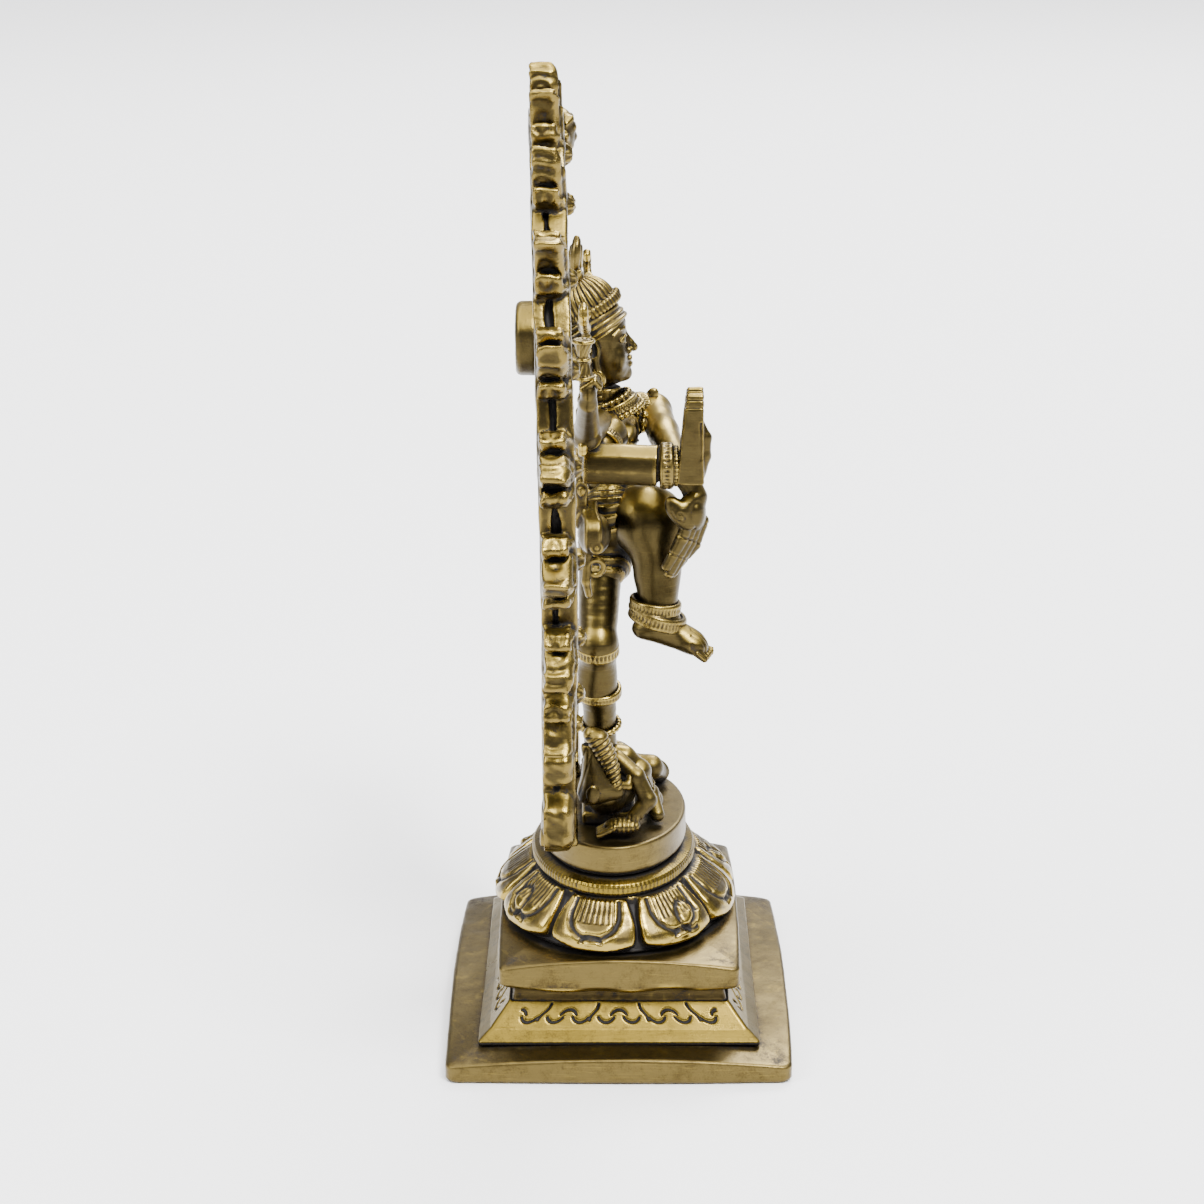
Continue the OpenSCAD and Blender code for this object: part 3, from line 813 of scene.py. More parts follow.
def make_arch():
    lean_room = 2.6
    low = (-FLAME_REACH - 0.5, arch_low[1] - 3.4, deck - 0.15)
    high = (FLAME_REACH + 0.5, arch_high[1] + lean_room + 1, arch_high[2] + 0.8)
    sculpt("flame_arch", arch_shape, low, high, 0.36, ["flame_arch"], "arch_brass", 0.9, 0.12)


def make_head_disc():
    low, high = box_mm("head_disc")
    radius = (high[0] - low[0]) / 2
    centre_z = (low[2] + high[2]) / 2
    wheel_half = 1.9
    wheel_y = high[1] - wheel_half

    def shape(P):
        X, Y, Z = P
        x, z, w = X, Z - centre_z, Y - wheel_y
        R = length(x, z)
        angle = np.arctan2(x, z)
        rim = length(np.maximum(np.abs(R - radius + 1.5) - 0.5, 0), np.maximum(np.abs(w) - 0.9, 0)) - 1.0
        plate = np.maximum(R - radius + 1.5, np.abs(w) - 1.1)
        petals = (0.5 + 0.5 * np.cos(angle * 8)) * np.exp(-((R - 2.8) / 1.2) ** 2)
        plate = plate - 0.7 * petals
        hub = length(R / 1.5, w / 1.9) * 1.5 - 1.5
        stem = rod(P, (0, low[1] + 0.6, centre_z), (0, wheel_y, centre_z), 1.6)
        return melt(0.4, rim, plate, hub, stem) + cast_skin(P, 0.09, 4)

    sculpt("head_disc", shape, low - 0.6, high + 0.6, 0.2, ["head_disc"], "arch_brass", 0.6, 0.08)


# ---------------------------------------------------------------------------
# Trunk
# ---------------------------------------------------------------------------

def torso_shape(P):
    X, Y, Z = P
    h = Z - deck
    q = (X, Y, h)
    m = mirrored(q)
    d = melt(1.5, egg(q, (0, 1.8, 65.4), (6.6, 4.4, 6.6)), rod(q, (-7.6, 2.0, 68.6), (7.6, 2.0, 68.6), 2.9),
             egg(q, (0, 2, 58.2), (5.0, 3.9, 5.4)), egg(q, (0, 2.1, 52.6), (6.2, 4.3, 4.2)))
    d = melt(0.8, d, egg(m, (3.2, -1.5, 66.9), (3.2, 1.7, 2.5)), egg(q, (0, 0.2, 57), (4.1, 3.1, 3.6)),
             egg(m, (4.1, 5.0, 67), (2.5, 1.4, 3.2)), rod(q, (0, 2.2, 69), (0, 2.4, 76), 2.7))
    d = melt(0.2, d, ball(m, (3.3, -3.15, 66.4), 0.32))
    d = carve(d, ball(q, (0, -3.05, 56.9), 0.6), 0.3)
    d = carve(d, chain(q, [(0, 6.9, 70), (0, 6.6, 64), (0, 6.4, 56), (0, 6.7, 52)], [0.5, 0.6, 0.6, 0.4],
                       0.3), 0.9)
    d = d + line_cut(h - 63.9 + 0.02 * X * X, 0.35, 0.16) * (Y < 1)
    across = (X * 13.5 - (h - 61.5) * 9.6) / 16.6
    thread = np.exp(-(across / 0.62) ** 4)
    d = d - thread * (0.34 + 0.1 * np.cos(across * 2 * math.pi / 0.5))
    belt = np.exp(-((h - 60.6) / 0.85) ** 6)
    d = d - belt * (0.36 + 0.12 * np.cos(np.arctan2(X, Y - 2) * 30))
    return d + cast_skin(P, 0.07, 5)


def make_torso():
    sculpt("torso", torso_shape, above_deck(-11.2, -4.8, 48), above_deck(11.2, 8, 75), 0.17,
           ["torso"], "skin_brass")


def make_necklace():
    def shape(P):
        collar_low, collar_high = above_deck(0, 0.8, 70.2), above_deck(0, 3.2, 76)
        d = bead_ring(P, collar_low, collar_high, 0.42, 3.7, 0.62, 22)
        d = melt(0.2, d, bead_ring(P, collar_low - (0, 0.4, 0.6), collar_high, 0.1, 5.0, 0.55, 34))
        d = melt(0.3, d, ribbed_band(P, collar_low, collar_high, 0.2, 4.4, 1.1, 0.7, 60))
        drop = egg(P, above_deck(0, -4.1, 68.3), (0.95, 0.7, 1.3))
        return melt(0.2, d, drop, ball(P, above_deck(0, -4.3, 70), 0.6))

    sculpt("necklace", shape, above_deck(-6.4, -5.6, 66.2), above_deck(6.4, 8.4, 75), 0.16,
           ["necklace"], "ornament_brass", 0.4, 0.06)


def make_hip_cloth():
    def shape(P):
        X, Y, Z = P
        q = (X, Y, Z - deck)
        d = melt(1.2, egg(q, (0, 2, 53.6), (6.7, 4.8, 4.0)),
                 rod(q, (-4.2, 1.9, 50.4), (-6.2, 2.2, 46.2), 4.9, 4.3),
                 rod(q, (4.4, 0.9, 52.6), (-0.6, -1.2, 53), 6.2, 6.0),
                 egg(q, (-7.4, 1.6, 54.4), (5.0, 4.9, 5.3)))
        pleat = X * 0.75 + (Z - deck) * 0.55 + 0.35 * np.sin(Y * 0.8)
        d = d - 0.22 * np.cos(pleat * 2 * math.pi / 1.35) - 0.1 * np.cos(pleat * 2 * math.pi / 0.45)
        return d + cast_skin(P, 0.08, 6)

    sculpt("hip_cloth", shape, above_deck(-13.4, -8, 40), above_deck(11.6, 7.9, 60), 0.2, ["hip_cloth"],
           "cloth_brass")


def make_waist_belt():
    def shape(P):
        X, Y, Z = P
        low, high = above_deck(0, 2, 54), above_deck(0, 2, 60)
        squash = (X * 0.83, (Y - 2) * 1.12 + 2, Z)
        d = ribbed_band(squash, low, high, 0.35, 5.2, 1.3, 0.9, 44)
        d = melt(0.2, d, bead_ring(squash, low, high, 0.02, 5.45, 0.55, 32),
                 bead_ring(squash, low, high, 0.66, 4.95, 0.45, 38))
        lobes = 0.18 * np.cos(np.arctan2(X, Z - deck - 56) * 8)
        clasp = length(X, (Y + 3.2) / 0.6, Z - deck - 56) - 1.6 - lobes
        q = (np.abs(X) - 0.9, Y, Z - deck)
        tassel = chain(q, [(0, -3.4, 54.8), (0.3, -5.6, 52.5), (0.7, -6.9, 49.5)], [0.55, 0.5, 0.75], 0.2)
        return melt(0.2, d, clasp, tassel)

    sculpt("waist_belt", shape, above_deck(-7.6, -8.4, 47.8), above_deck(7.6, 8.2, 60), 0.18,
           ["waist_belt"], "ornament_brass", 0.4, 0.07)


def make_sash():
    """Flying sash ends: a broad knotted lobe on the right, a rippling tail on the left."""
    def shape(P):
        X, Y, Z = P
        h = Z - deck
        Q = (X, h, 0 * X)
        right = chain(Q, [(-5, 54, 0), (-11, 54.6, 0), (-16, 55.6, 0), (-19.6, 54.8, 0)],
                      [2.2, 2.9, 3.5, 3.1], 1.0)
        left = chain(Q, [(6, 54, 0), (13, 56.5, 0), (20, 54.4, 0), (27.6, 57.6, 0)], [2.3, 2.6, 2.7, 2.1],
                     1.0)
        flat = np.minimum(right, left)
        wave = 0.5 * np.sin(X * 0.55 + h * 0.3)
        mid = 5.3 - 0.9 * np.clip((-X - 12) / 8, 0, 1) + wave * 0.5
        thick = 1.0 + 0.5 * np.sqrt(np.clip(-flat / 2, 0, 1))
        folds = 0.3 * np.cos((h + np.sin(X * 0.35) * 1.4) * 2 * math.pi / 1.5)
        cloth = np.maximum(flat, np.abs(Y - mid) - thick + folds * (X > -9))
        cloth = cloth - line_cut(np.abs(flat + 0.5) - 0.001, 0.3, 0.22) * (np.abs(Y - mid) > 0.5)
        boss_at = (-22.3, 3.6, 53.2)
        boss = np.minimum(hoop((X, Y, h), boss_at, (1, 0, 0), 0.85, 0.28), ball((X, Y, h), boss_at, 0.5))
        lobe = egg((X, Y, h), (-18.2, 4.0, 54.4), (3.3, 2.7, 3.4))
        knot = hoop((X, Y, h), (-17.5, 3.9, 48.4), (1, 0.2, 0.1), 1.35, 0.5)
        drop = chain((X, Y, h), [(-17.4, 5.2, 51), (-17.6, 5.4, 46), (-16.8, 5.0, 43.6)], [0.9, 0.75, 0.6],
                     0.3)
        strips = chain((X, Y, h), [(-17, 6.2, 56), (-18.6, 6.1, 62), (-17.6, 6.0, 69), (-18.8, 6.0, 75)],
                       [1.3, 1.0, 1.2, 1.0], 0.5)
        strips = strips + groove(X + 0.3 * Z + 0.3 * np.sin(Z), 0.8, 0.25)
        out = melt(0.5, cloth, lobe, strips, drop)
        return melt(0.12, out, boss, knot) + cast_skin(P, 0.07, 7)

    sculpt("sash_ends", shape, above_deck(-23.4, 0.6, 42), above_deck(30.5, 8.4, 77.4), 0.22, ["sash_ends"],
           "cloth_brass")


# ---------------------------------------------------------------------------
# Head, crown and hair
# ---------------------------------------------------------------------------

def head_shape(P):
    q = [v / HEAD_SCALE for v in moved(P, CHIN, HEAD_LEAN)]
    m = (np.abs(q[0]), q[1], q[2])
    d = melt(0.9, egg(q, (0, -0.5, 7.1), (4.0, 3.7, 4.4)), egg(q, (0, -1.2, 4.8), (3.7, 3.1, 4.9)),
             egg(q, (0, -1.5, 2.0), (2.8, 2.5, 2.2)))
    d = melt(0.6, d, ball(q, (0, -3.25, 1.0), 1.05), egg(m, (2.1, -2.7, 3.7), (1.5, 1.2, 1.7)),
             egg(q, (0, -2.9, 8.0), (2.9, 1.5, 1.8)))
    d = melt(0.7, d, rod(q, (0, 0.9, -3.6), (0, 0.7, 2.5), 2.3))
    d = carve(d, egg(m, (1.7, -4.75, 6.05), (1.25, 0.85, 0.72)), 0.5)
    nose = melt(0.3, chain(q, [(0, -3.95, 6.7), (0, -4.7, 5.1), (0, -5.05, 4.4)], [0.42, 0.5, 0.6], 0.2),
                ball(m, (0.7, -4.35, 4.15), 0.45))
    d = melt(0.3, d, nose)
    d = melt(0.1, d, egg(m, (1.7, -3.62, 6.0), (1.1, 0.62, 0.58)))
    lid = chain(m, [(0.6, -4.05, 5.85), (1.2, -4.25, 6.4), (2.0, -4.2, 6.5), (2.95, -3.5, 6.05)],
                [0.12, 0.17, 0.17, 0.12], 0.1)
    low_lid = chain(m, [(0.6, -4.05, 5.8), (1.7, -4.15, 5.5), (2.95, -3.5, 5.95)], [0.1, 0.13, 0.1], 0.1)
    brow = chain(m, [(0.35, -4.1, 7.1), (1.5, -4.2, 7.55), (2.7, -3.5, 7.45), (3.45, -2.7, 6.95)],
                 [0.2, 0.24, 0.22, 0.14], 0.15)
    d = melt(0.12, d, lid, low_lid, brow)
    d = melt(0.25, d, chain(m, [(0, -4.3, 2.95), (0.5, -4.32, 3.05), (1.3, -3.75, 2.8)], [0.3, 0.3, 0.14],
                            0.15),
             chain(m, [(0, -4.25, 2.2), (0.6, -4.15, 2.25), (1.15, -3.75, 2.5)], [0.38, 0.34, 0.14], 0.15))
    d = carve(d, chain(m, [(0, -4.75, 2.62), (0.7, -4.6, 2.66), (1.45, -4.0, 2.72)], [0.12, 0.11, 0.09],
                       0.1), 0.12)
    d = carve(d, ball(m, (0.42, -4.85, 3.72), 0.17), 0.12)
    d = carve(d, ball(m, (1.72, -4.3, 6.0), 0.13), 0.1)
    d = melt(0.1, d, egg(q, (0, -4.25, 8.2), (0.24, 0.3, 0.6)))
    ear = melt(0.3, egg(m, (4.2, 0.5, 5.7), (0.65, 1.2, 1.9)),
               rod(m, (4.25, 0.3, 4.4), (4.25, 0.1, 1.2), 0.6, 0.5))
    ear = carve(ear, egg(m, (4.75, 0.4, 5.9), (0.4, 0.65, 1.2)), 0.2)
    ear = carve(ear, egg(m, (4.3, 0.1, 1.9), (1.0, 0.28, 0.75)), 0.15)
    d = melt(0.25, d, ear)
    neck = q[2] < -0.2
    d = d + neck * line_cut((q[2] + 0.75) % 0.9 - 0.45, 0.14, 0.14)
    return d * HEAD_SCALE + cast_skin(P, 0.035, 8)


def make_head():
    sculpt("head", head_shape, above_deck(-6.5, -5.4, 71.2), above_deck(6.5, 8.6, 90.4), 0.14,
           ["head"], "skin_brass", 0.4, 0.05)


BAND_AT = above_deck(0, 3.7, 87.9)
BAND_TILT = math.radians(32)


def crown_frame(P):
    """Across, towards the front along the headband's plane, and out along the cap's axis."""
    c, s = math.cos(BAND_TILT), math.sin(BAND_TILT)
    y, z = P[1] - BAND_AT[1], P[2] - BAND_AT[2]
    return P[0] + 0 * y, -y * c + z * s, y * s + z * c


def crown_shape(P):
    x, b, t = crown_frame(P)
    angle = np.arctan2(x, b)
    hair = egg((x, b, t), (0, -1.4, -3.4), (5.25, 5.05, 5.9))
    swirl = t + 0.12 * np.cos(angle * 2) - 0.05 * np.abs(x)
    hair = hair - 0.34 * (0.5 + 0.5 * np.cos(swirl * 2 * math.pi / 1.0)) ** 0.8
    hair = -melt(0.3, -hair, -np.maximum(t - 0.4, -t - 3.5))
    rr = length(x, b + 0.1)
    band = length(np.maximum(np.abs(t - 0.5) - 0.35, 0), rr - 4.35) - 0.62 + ribs(angle, 40, 0.16)
    dome = egg((x, b, t), (0, -0.4, 1.2), (4.35, 4.6, 5.2))
    flute = np.abs(np.sin(angle * 12))
    dome = dome + 0.5 * (1 - flute) ** 2 * np.clip(rr / 1.8 - 0.3, 0, 1)
    dome = np.maximum(dome, 0.4 - t)
    d = melt(0.12, hair, band, dome)
    back = rod(P, above_deck(0, 5.2, 80.5), above_deck(0, 5.6, 86), 3.2, 3.2)
    back = back + groove(P[0] + 0.3 * np.sin(P[2] * 1.2), 0.85, 0.3)
    jewel = egg((x, b, t), (0, 4.55, 0.9), (0.8, 0.5, 0.8))
    return melt(0.3, melt(0.12, d, jewel), back) + cast_skin(P, 0.04, 9)


def make_crown():
    sculpt("crown", crown_shape, above_deck(-6.2, -3.4, 77), above_deck(6.2, 9.2, 95.6), 0.14,
           ["crown"], "hair_brass", 0.4, 0.07)


def make_crest():
    def shape(P):
        X, Y, Z = P
        q = (X, Y, Z - deck)
        leaf = egg(q, (0, 7.2, 96.9), (2.0, 1.25, 3.2), (6, 0, 0))
        leaf = melt(0.3, leaf, rod(q, (0, 7.1, 93.2), (0, 7.2, 97.4), 1.3, 1.0),
                    ball(q, (0, 7.0, 99.9), 0.45))
        vein = length(X / 1.1, (Z - deck - 96.9) / 2.2) - 1
        leaf = leaf + line_cut(vein, 0.13, 0.25) * (np.abs(Y - 7.2) > 0.5)
        moon = hoop(q, (0, 6.6, 94.3), (0, 1, 0.1), 1.9, 0.45) + 0.9 * (Z - deck > 95.0)
        return melt(0.25, leaf, moon) + cast_skin(P, 0.05, 11)

    sculpt("crown_crest", shape, above_deck(-3.2, 4.4, 91.4), above_deck(3.2, 9.6, 101.2), 0.14,
           ["crown_crest"], "ornament_brass", 0.4, 0.06)


LOCKS = 5


def lock_path(k):
    """Points of lock k, from the head outwards, ending in a curl."""
    rise = math.radians(-22 + 9 * k)
    start = above_deck(4.0, 5.6, 79.5 + 1.5 * k)
    size = 24.5 - 1.3 * abs(k - 1.5)
    points = []
    for i in range(9):
        s = i / 8
        wave = 1.05 * math.sin(s * 2.4 * math.pi + k * 1.3) * s
        run = np.array([math.cos(rise), 0, math.sin(rise)]) * size * s
        side = np.array([-math.sin(rise), 0, math.cos(rise)]) * wave
        points.append(start + run + side + np.array([0, 0.25 * math.cos(s * 7 + k), 0]))
    turn = 1 if k > 1 else -1
    centre = points[-1] + np.array([-math.sin(rise), 0, math.cos(rise)]) * turn * 1.5
    for i in range(1, 6):
        a = i / 5 * 4.4
        r = 1.5 - 0.2 * i
        points.append(centre + r * (np.array([math.cos(rise), 0, math.sin(rise)]) * math.sin(a)
                                    - np.array([-math.sin(rise), 0, math.cos(rise)]) * turn * math.cos(a)))
    return points


def make_hair(name, sign):
    def shape(P):
        m = (P[0] * sign, P[1], P[2])
        out = None
        for k in range(LOCKS):
            path = lock_path(k)
            radii = [1.05 - 0.035 * i for i in range(len(path))]
            d = chain(m, path, radii, 0.25)
            d = d + groove(d + 0.02 * m[0], 0.5, 0.12) * (d > -0.9)
            out = d if out is None else np.minimum(out, d)
        for reach in (11, 18.5):
            arc = length(m[0] - 2, m[2] - deck - 82) - reach
            along = np.arctan2(m[2] - deck - 82, m[0] - 2) * reach
            bead = length(arc, (along + 0.9) % 1.8 - 0.9, P[1] - 5.2) - 0.75
            bead = np.minimum(bead, length(arc, P[1] - 5.5) - 0.45)
            limit = np.abs(np.arctan2(m[2] - deck - 82, m[0] - 2) - 0.02) - 0.46
            out = melt(0.1, out, np.maximum(bead, limit * reach))
        return out + cast_skin(P, 0.06, 12)

    xs = sorted([sign * 3.0, sign * 33.2])
    sculpt(name, shape, above_deck(xs[0], 3.2, 66.5), above_deck(xs[1], 7.4, 101), 0.22, [name],
           "hair_brass", 0.5, 0.09)


def make_earrings():
    def shape(P):
        m = mirrored(P)
        ring_at = above_deck(5.3, 4.0, 77.2)
        d = hoop(m, ring_at, (1, 0.15, 0), 1.45, 0.42)
        return melt(0.15, d, ball(m, ring_at + (0, 0, -1.6), 0.55), ball(m, ring_at + (0, 0, 1.5), 0.5))

    sculpt("earrings", shape, above_deck(-6.6, 1.6, 74.2), above_deck(6.6, 6.4, 79.9), 0.14,
           ["earrings"], "ornament_brass", 0.4, 0.06)


# ---------------------------------------------------------------------------
# Arms and hands
# ---------------------------------------------------------------------------

def make_lower_right_arm():
    def shape(P):
        upper = melt(0.8, rod(P, SHOULDER, ELBOW, 3.0, 2.6), ball(P, SHOULDER, 3.2))
        back, front = ELBOW + (0, 1.3, 0), WRIST + (0, 1.0, 0)
        fore = faceted_rod(P, back, front, 3.45, 8, 0.32)
        fore = fore + 0.08 * noise(P, 4, 21)
        wrist = rod(P, WRIST + (0, 1.4, 0), WRIST + (0, -2.6, 0.2), 2.7, 2.2)
        return melt(0.3, melt(0.9, upper, fore), wrist) + cast_skin(P, 0.05, 22)

    sculpt("lower_right_arm", shape, above_deck(-23.4, -10.4, 62), above_deck(-4, 8.6, 72.6), 0.18,
           ["lower_right_arm"], "skin_brass")


def fingers(P, knuckles, bends, tips, radius, line_pitch):
    """Four fingers side by side, with creases across them."""
    out = None
    for knuckle, bend, tip in zip(knuckles, bends, tips):
        d = chain(P, [knuckle, bend, tip], [radius, radius * 0.95, radius * 0.78], 0.2)
        t = axis_of(P, knuckle, tip)[0]
        d = d + line_cut((t + line_pitch / 2) % line_pitch - line_pitch / 2, 0.14, 0.16)
        out = d if out is None else np.minimum(out, d)
    return out


def make_abhaya_hand():
    """Raised palm: joined fingers in one slab, thick at the heel and thin at the tips, thumb in front."""
    def shape(P):
        x, rise = P[0] - WRIST[0], P[2] - WRIST[2]
        share = np.clip((rise + 2.4) / 15.0, 0, 1)
        middle = WRIST[1] - 4.3 - 0.7 * share
        slab = np.abs(P[1] - middle) - (2.2 - 0.85 * share)
        outline = brick((x, 0 * x, rise), (-0.1, 0, 1.4), (3.2, 9, 3.9), 1.3)
        for offset, top in zip([-2.42, -0.86, 0.7, 2.26], [12.5, 13.2, 12.8, 11.6]):
            lean_in = offset * (1 - 0.02 * (rise - 5))
            outline = np.minimum(outline, length(x - lean_in, np.maximum(rise - top + 0.9, 0)) - 0.86)
        outline = np.maximum(outline, -2.5 - rise)
        hand = -melt(0.45, -outline, -slab)
        joints = line_cut((rise - 9.5) % 1.25 - 0.62, 0.13, 0.22) * (rise > 9.3)
        thumb = chain(P, [WRIST + (-1.2, -5.2, -0.9), WRIST + (-1.4, -6.5, 2.0), WRIST + (-1.5, -6.7, 5.0),
                          WRIST + (-1.5, -6.0, 7.4)], [1.6, 1.15, 0.95, 0.6], 0.5)
        seam = line_cut(P[1] - WRIST[1] + 5.9, 0.2, 0.35) * (rise > 1.5) * (rise < 7.8)
        hand = melt(0.15, hand + joints, thumb) + seam
        filed = WRIST[0] - 3.1 - P[0]
        hand = -melt(0.25, -hand, -filed)
        neck = rod(P, WRIST + (0, -1.0, 0), WRIST + (0, -4.0, 0), 2.0, 1.9)
        return melt(0.4, hand, neck) + cast_skin(P, 0.07, 23) + 0.05 * noise(P, 1.5, 46)

    sculpt("abhaya_hand", shape, WRIST + (-4.4, -9.6, -3.2), WRIST + (4.8, 0.2, 14.4), 0.15,
           ["abhaya_hand"], "skin_brass", 0.4, 0.06)


def make_lower_left_arm():
    def shape(P):
        d = melt(0.9, ball(P, FAR_SHOULDER, 3.3), rod(P, FAR_SHOULDER, FAR_ELBOW, 3.1, 2.9),
                 ball(P, FAR_ELBOW, 3.0),
                 rod(P, FAR_ELBOW, FAR_WRIST, 3.0, 1.95),
                 egg(P, FAR_ELBOW * 0.66 + FAR_WRIST * 0.34, (4.6, 2.5, 2.7)))
        return d + cast_skin(P, 0.06, 24)

    sculpt("lower_left_arm", shape, above_deck(-18.5, -13.4, 60.6), above_deck(15.8, 5.2, 72.4), 0.2,
           ["lower_left_arm"], "skin_brass")


def make_hanging_hand():
    def shape(P):
        base = FAR_WRIST
        wrist = chain(P, [base + (0, 0.2, 0.2), base + (-1.6, -1.0, -0.6), base + (-2.2, -2.1, -3.0)],
                      [1.95, 1.9, 1.9], 0.5)
        back = egg(P, base + (-2.2, -1.9, -5.4), (3.0, 1.9, 3.2), (-6, 0, 0))
        spreads = [-1.7, -0.57, 0.57, 1.7]
        sizes = [0.94, 1.0, 0.98, 0.9]
        across = np.array([0.66, -0.63, -0.42])
        knuckles = [base + (-2.4, -2.2, -6.6) + across * s for s in spreads]
        bends = [base + (-2.6, -0.9, -10.4) + across * s for s in spreads]
        tips = [base + (-2.4, 1.9 * size, -16.0 * size) + across * s * 0.75
                for s, size in zip(spreads, sizes)]
        d = melt(0.7, wrist, back)
        d = melt(0.25, d, fingers(P, knuckles, bends, tips, 1.12, 3.4))
        thumb_at = base + (-4.4, 0.5, -5.2)
        thumb = melt(0.5, egg(P, thumb_at, (1.3, 1.8, 3.4), (-40, 0, 0)),
                     rod(P, thumb_at, base + (-3, -1.6, -3.2), 1.4, 1.6))
        q = moved(P, thumb_at, (-40, 0, 0))
        far = length(q[1] / 1.1, q[2] / 1.9)
        turn = np.arctan2(q[2] / 1.9, q[1] / 1.1)
        spiral = (far - 0.35 - 0.16 * (turn + math.pi) + 0.5) % 1.0 - 0.5
        thumb = thumb + line_cut(spiral, 0.12, 0.16) * (far < 0.95) * (q[0] < 0)
        d = melt(0.12, d, thumb)
        return d + cast_skin(P, 0.06, 25)

    sculpt("hanging_hand", shape, FAR_WRIST + (-7, -5.2, -18), FAR_WRIST + (2.6, 4.6, 2.6), 0.16,
           ["hanging_hand"], "skin_brass", 0.4, 0.06)


def make_upper_arm(name, sign, open_hand):
    def shape(P):
        m = (P[0] * sign, P[1], P[2])
        d = melt(0.9, ball(m, UPPER_SHOULDER, 2.7), rod(m, UPPER_SHOULDER, UPPER_ELBOW, 2.5, 2.2),
                 ball(m, UPPER_ELBOW, 2.3), rod(m, UPPER_ELBOW, UPPER_WRIST, 2.2, 1.5))
        up = UPPER_WRIST
        palm = egg(m, up + (0.3, -0.1, 1.7), (1.7, 1.25, 2.0))
        d = melt(0.5, d, palm)
        for k in range(4):
            x = -1.35 + 0.9 * k
            if open_hand:
                points = [up + (x, -0.2, 2.6), up + (x * 1.25, -0.9, 4.1), up + (x * 1.35, -0.4, 5.0)]
            else:
                points = [up + (x * 0.9, 0.9, 2.6), up + (x, -1.0, 3.9), up + (x, -1.9, 3.0)]
            d = melt(0.15, d, chain(m, points, [0.52, 0.48, 0.4], 0.2))
        d = melt(0.2, d, chain(m, [up + (-1.4, -0.6, 1.2), up + (-2.1, -1.2, 2.8), up + (-1.5, -1.3, 3.9)],
                               [0.6, 0.5, 0.4], 0.2))
        return d + cast_skin(P, 0.05, 26)

    xs = sorted([sign * 5.6, sign * 37])
    sculpt(name, shape, above_deck(xs[0], 1.0, 66.6), above_deck(xs[1], 7.3, 84.6), 0.2, [name], "skin_brass")


def make_damaru():
    low, high = box_mm("damaru")
    centre = (low + high) / 2

    def shape(P):
        q = moved(P, centre + (0, 0.9, 0.4))
        r, t = length(q[0], q[1]), np.abs(q[2])
        body = 0.7 + 0.3 * t ** 1.05
        angle = np.arctan2(q[0], q[1])
        d = np.maximum((r - body) * 0.9, t - 3.1) + ribs(angle + 0.3 * q[2], 10, 0.12)
        d = melt(0.12, d, length(r - 1.55, t - 2.85) - 0.32, length(r - 0.85, q[2]) - 0.32)
        return d + cast_skin(P, 0.04, 27)

    sculpt("damaru", shape, low - 0.6, high + 0.6, 0.14, ["damaru"], "ornament_brass", 0.4, 0.07)


def make_hand_flame():
    low, high = box_mm("hand_flame")
    base = np.array([(low[0] + high[0]) / 2, (low[1] + high[1]) / 2, low[2]])

    def shape(P):
        cup = egg(P, base + (0, 0, 1.1), (2.0, 2.0, 1.2))
        d = melt(0.3, cup, chain(P, [base + (0, 0, 1.2), base + (0.4, 0.6, 3.2), base + (-0.3, 1.0, 4.4),
                                     base + (0.3, 1.3, 5.4)],
                                 [1.3, 1.15, 0.7, 0.3], 0.3))
        for side in (-1, 1):
            d = melt(0.2, d, chain(P, [base + (side * 0.8, 0, 1.6), base + (side * 1.9, 0.5, 2.8),
                                       base + (side * 1.6, 0.9, 4.2)],
                                   [0.85, 0.65, 0.2], 0.25))
        return d + groove(P[0] + 0.4 * np.sin(P[2]), 0.7, 0.14) + cast_skin(P, 0.04, 28)

    sculpt("hand_flame", shape, low - 0.7, high + 0.7, 0.14, ["hand_flame"], "ornament_brass", 0.4, 0.07)


def make_armlets():
    def shape(P):
        d = ribbed_band(P, FAR_SHOULDER, FAR_ELBOW, 0.62, 3.25, 1.5, 0.7, 44)
        d = np.minimum(d, bead_ring(P, FAR_SHOULDER, FAR_ELBOW, 0.36, 3.45, 0.45, 30))
        d = np.minimum(d, ribbed_band(P, SHOULDER, ELBOW, 0.42, 3.15, 1.6, 0.7, 44))
        leaf = egg(P, FAR_SHOULDER * 0.38 + FAR_ELBOW * 0.62 + (0.4, -2.4, 2.9), (0.7, 1.1, 1.5), (30, 0, 0))
        return melt(0.15, d, leaf)

    sculpt("armlets", shape, above_deck(-16.8, -8.2, 63.2), above_deck(15.2, 6.4, 73.4), 0.2,
           ["armlets"], "ornament_brass", 0.5, 0.09)


def make_bangles():
    def shape(P):
        near = ribbed_band(P, WRIST + (0, 1, 0), WRIST + (0, -2, 0), 0.5, 3.25, 1.2, 1.1, 30)
        near = np.minimum(near, bead_ring(P, WRIST + (0, 1, 0), WRIST + (0, -2, 0), 1.0, 2.9, 0.5, 26))
        far = ribbed_band(P, FAR_ELBOW, FAR_WRIST, 0.9, 2.45, 1.3, 0.7, 34)
        return np.minimum(near, far)

    sculpt("bangles", shape, above_deck(-23.9, -14, 60.2), above_deck(-8, -4.2, 71), 0.17,
           ["bangles"], "ornament_brass", 0.5, 0.09)


# ---------------------------------------------------------------------------
# Legs and feet
# ---------------------------------------------------------------------------

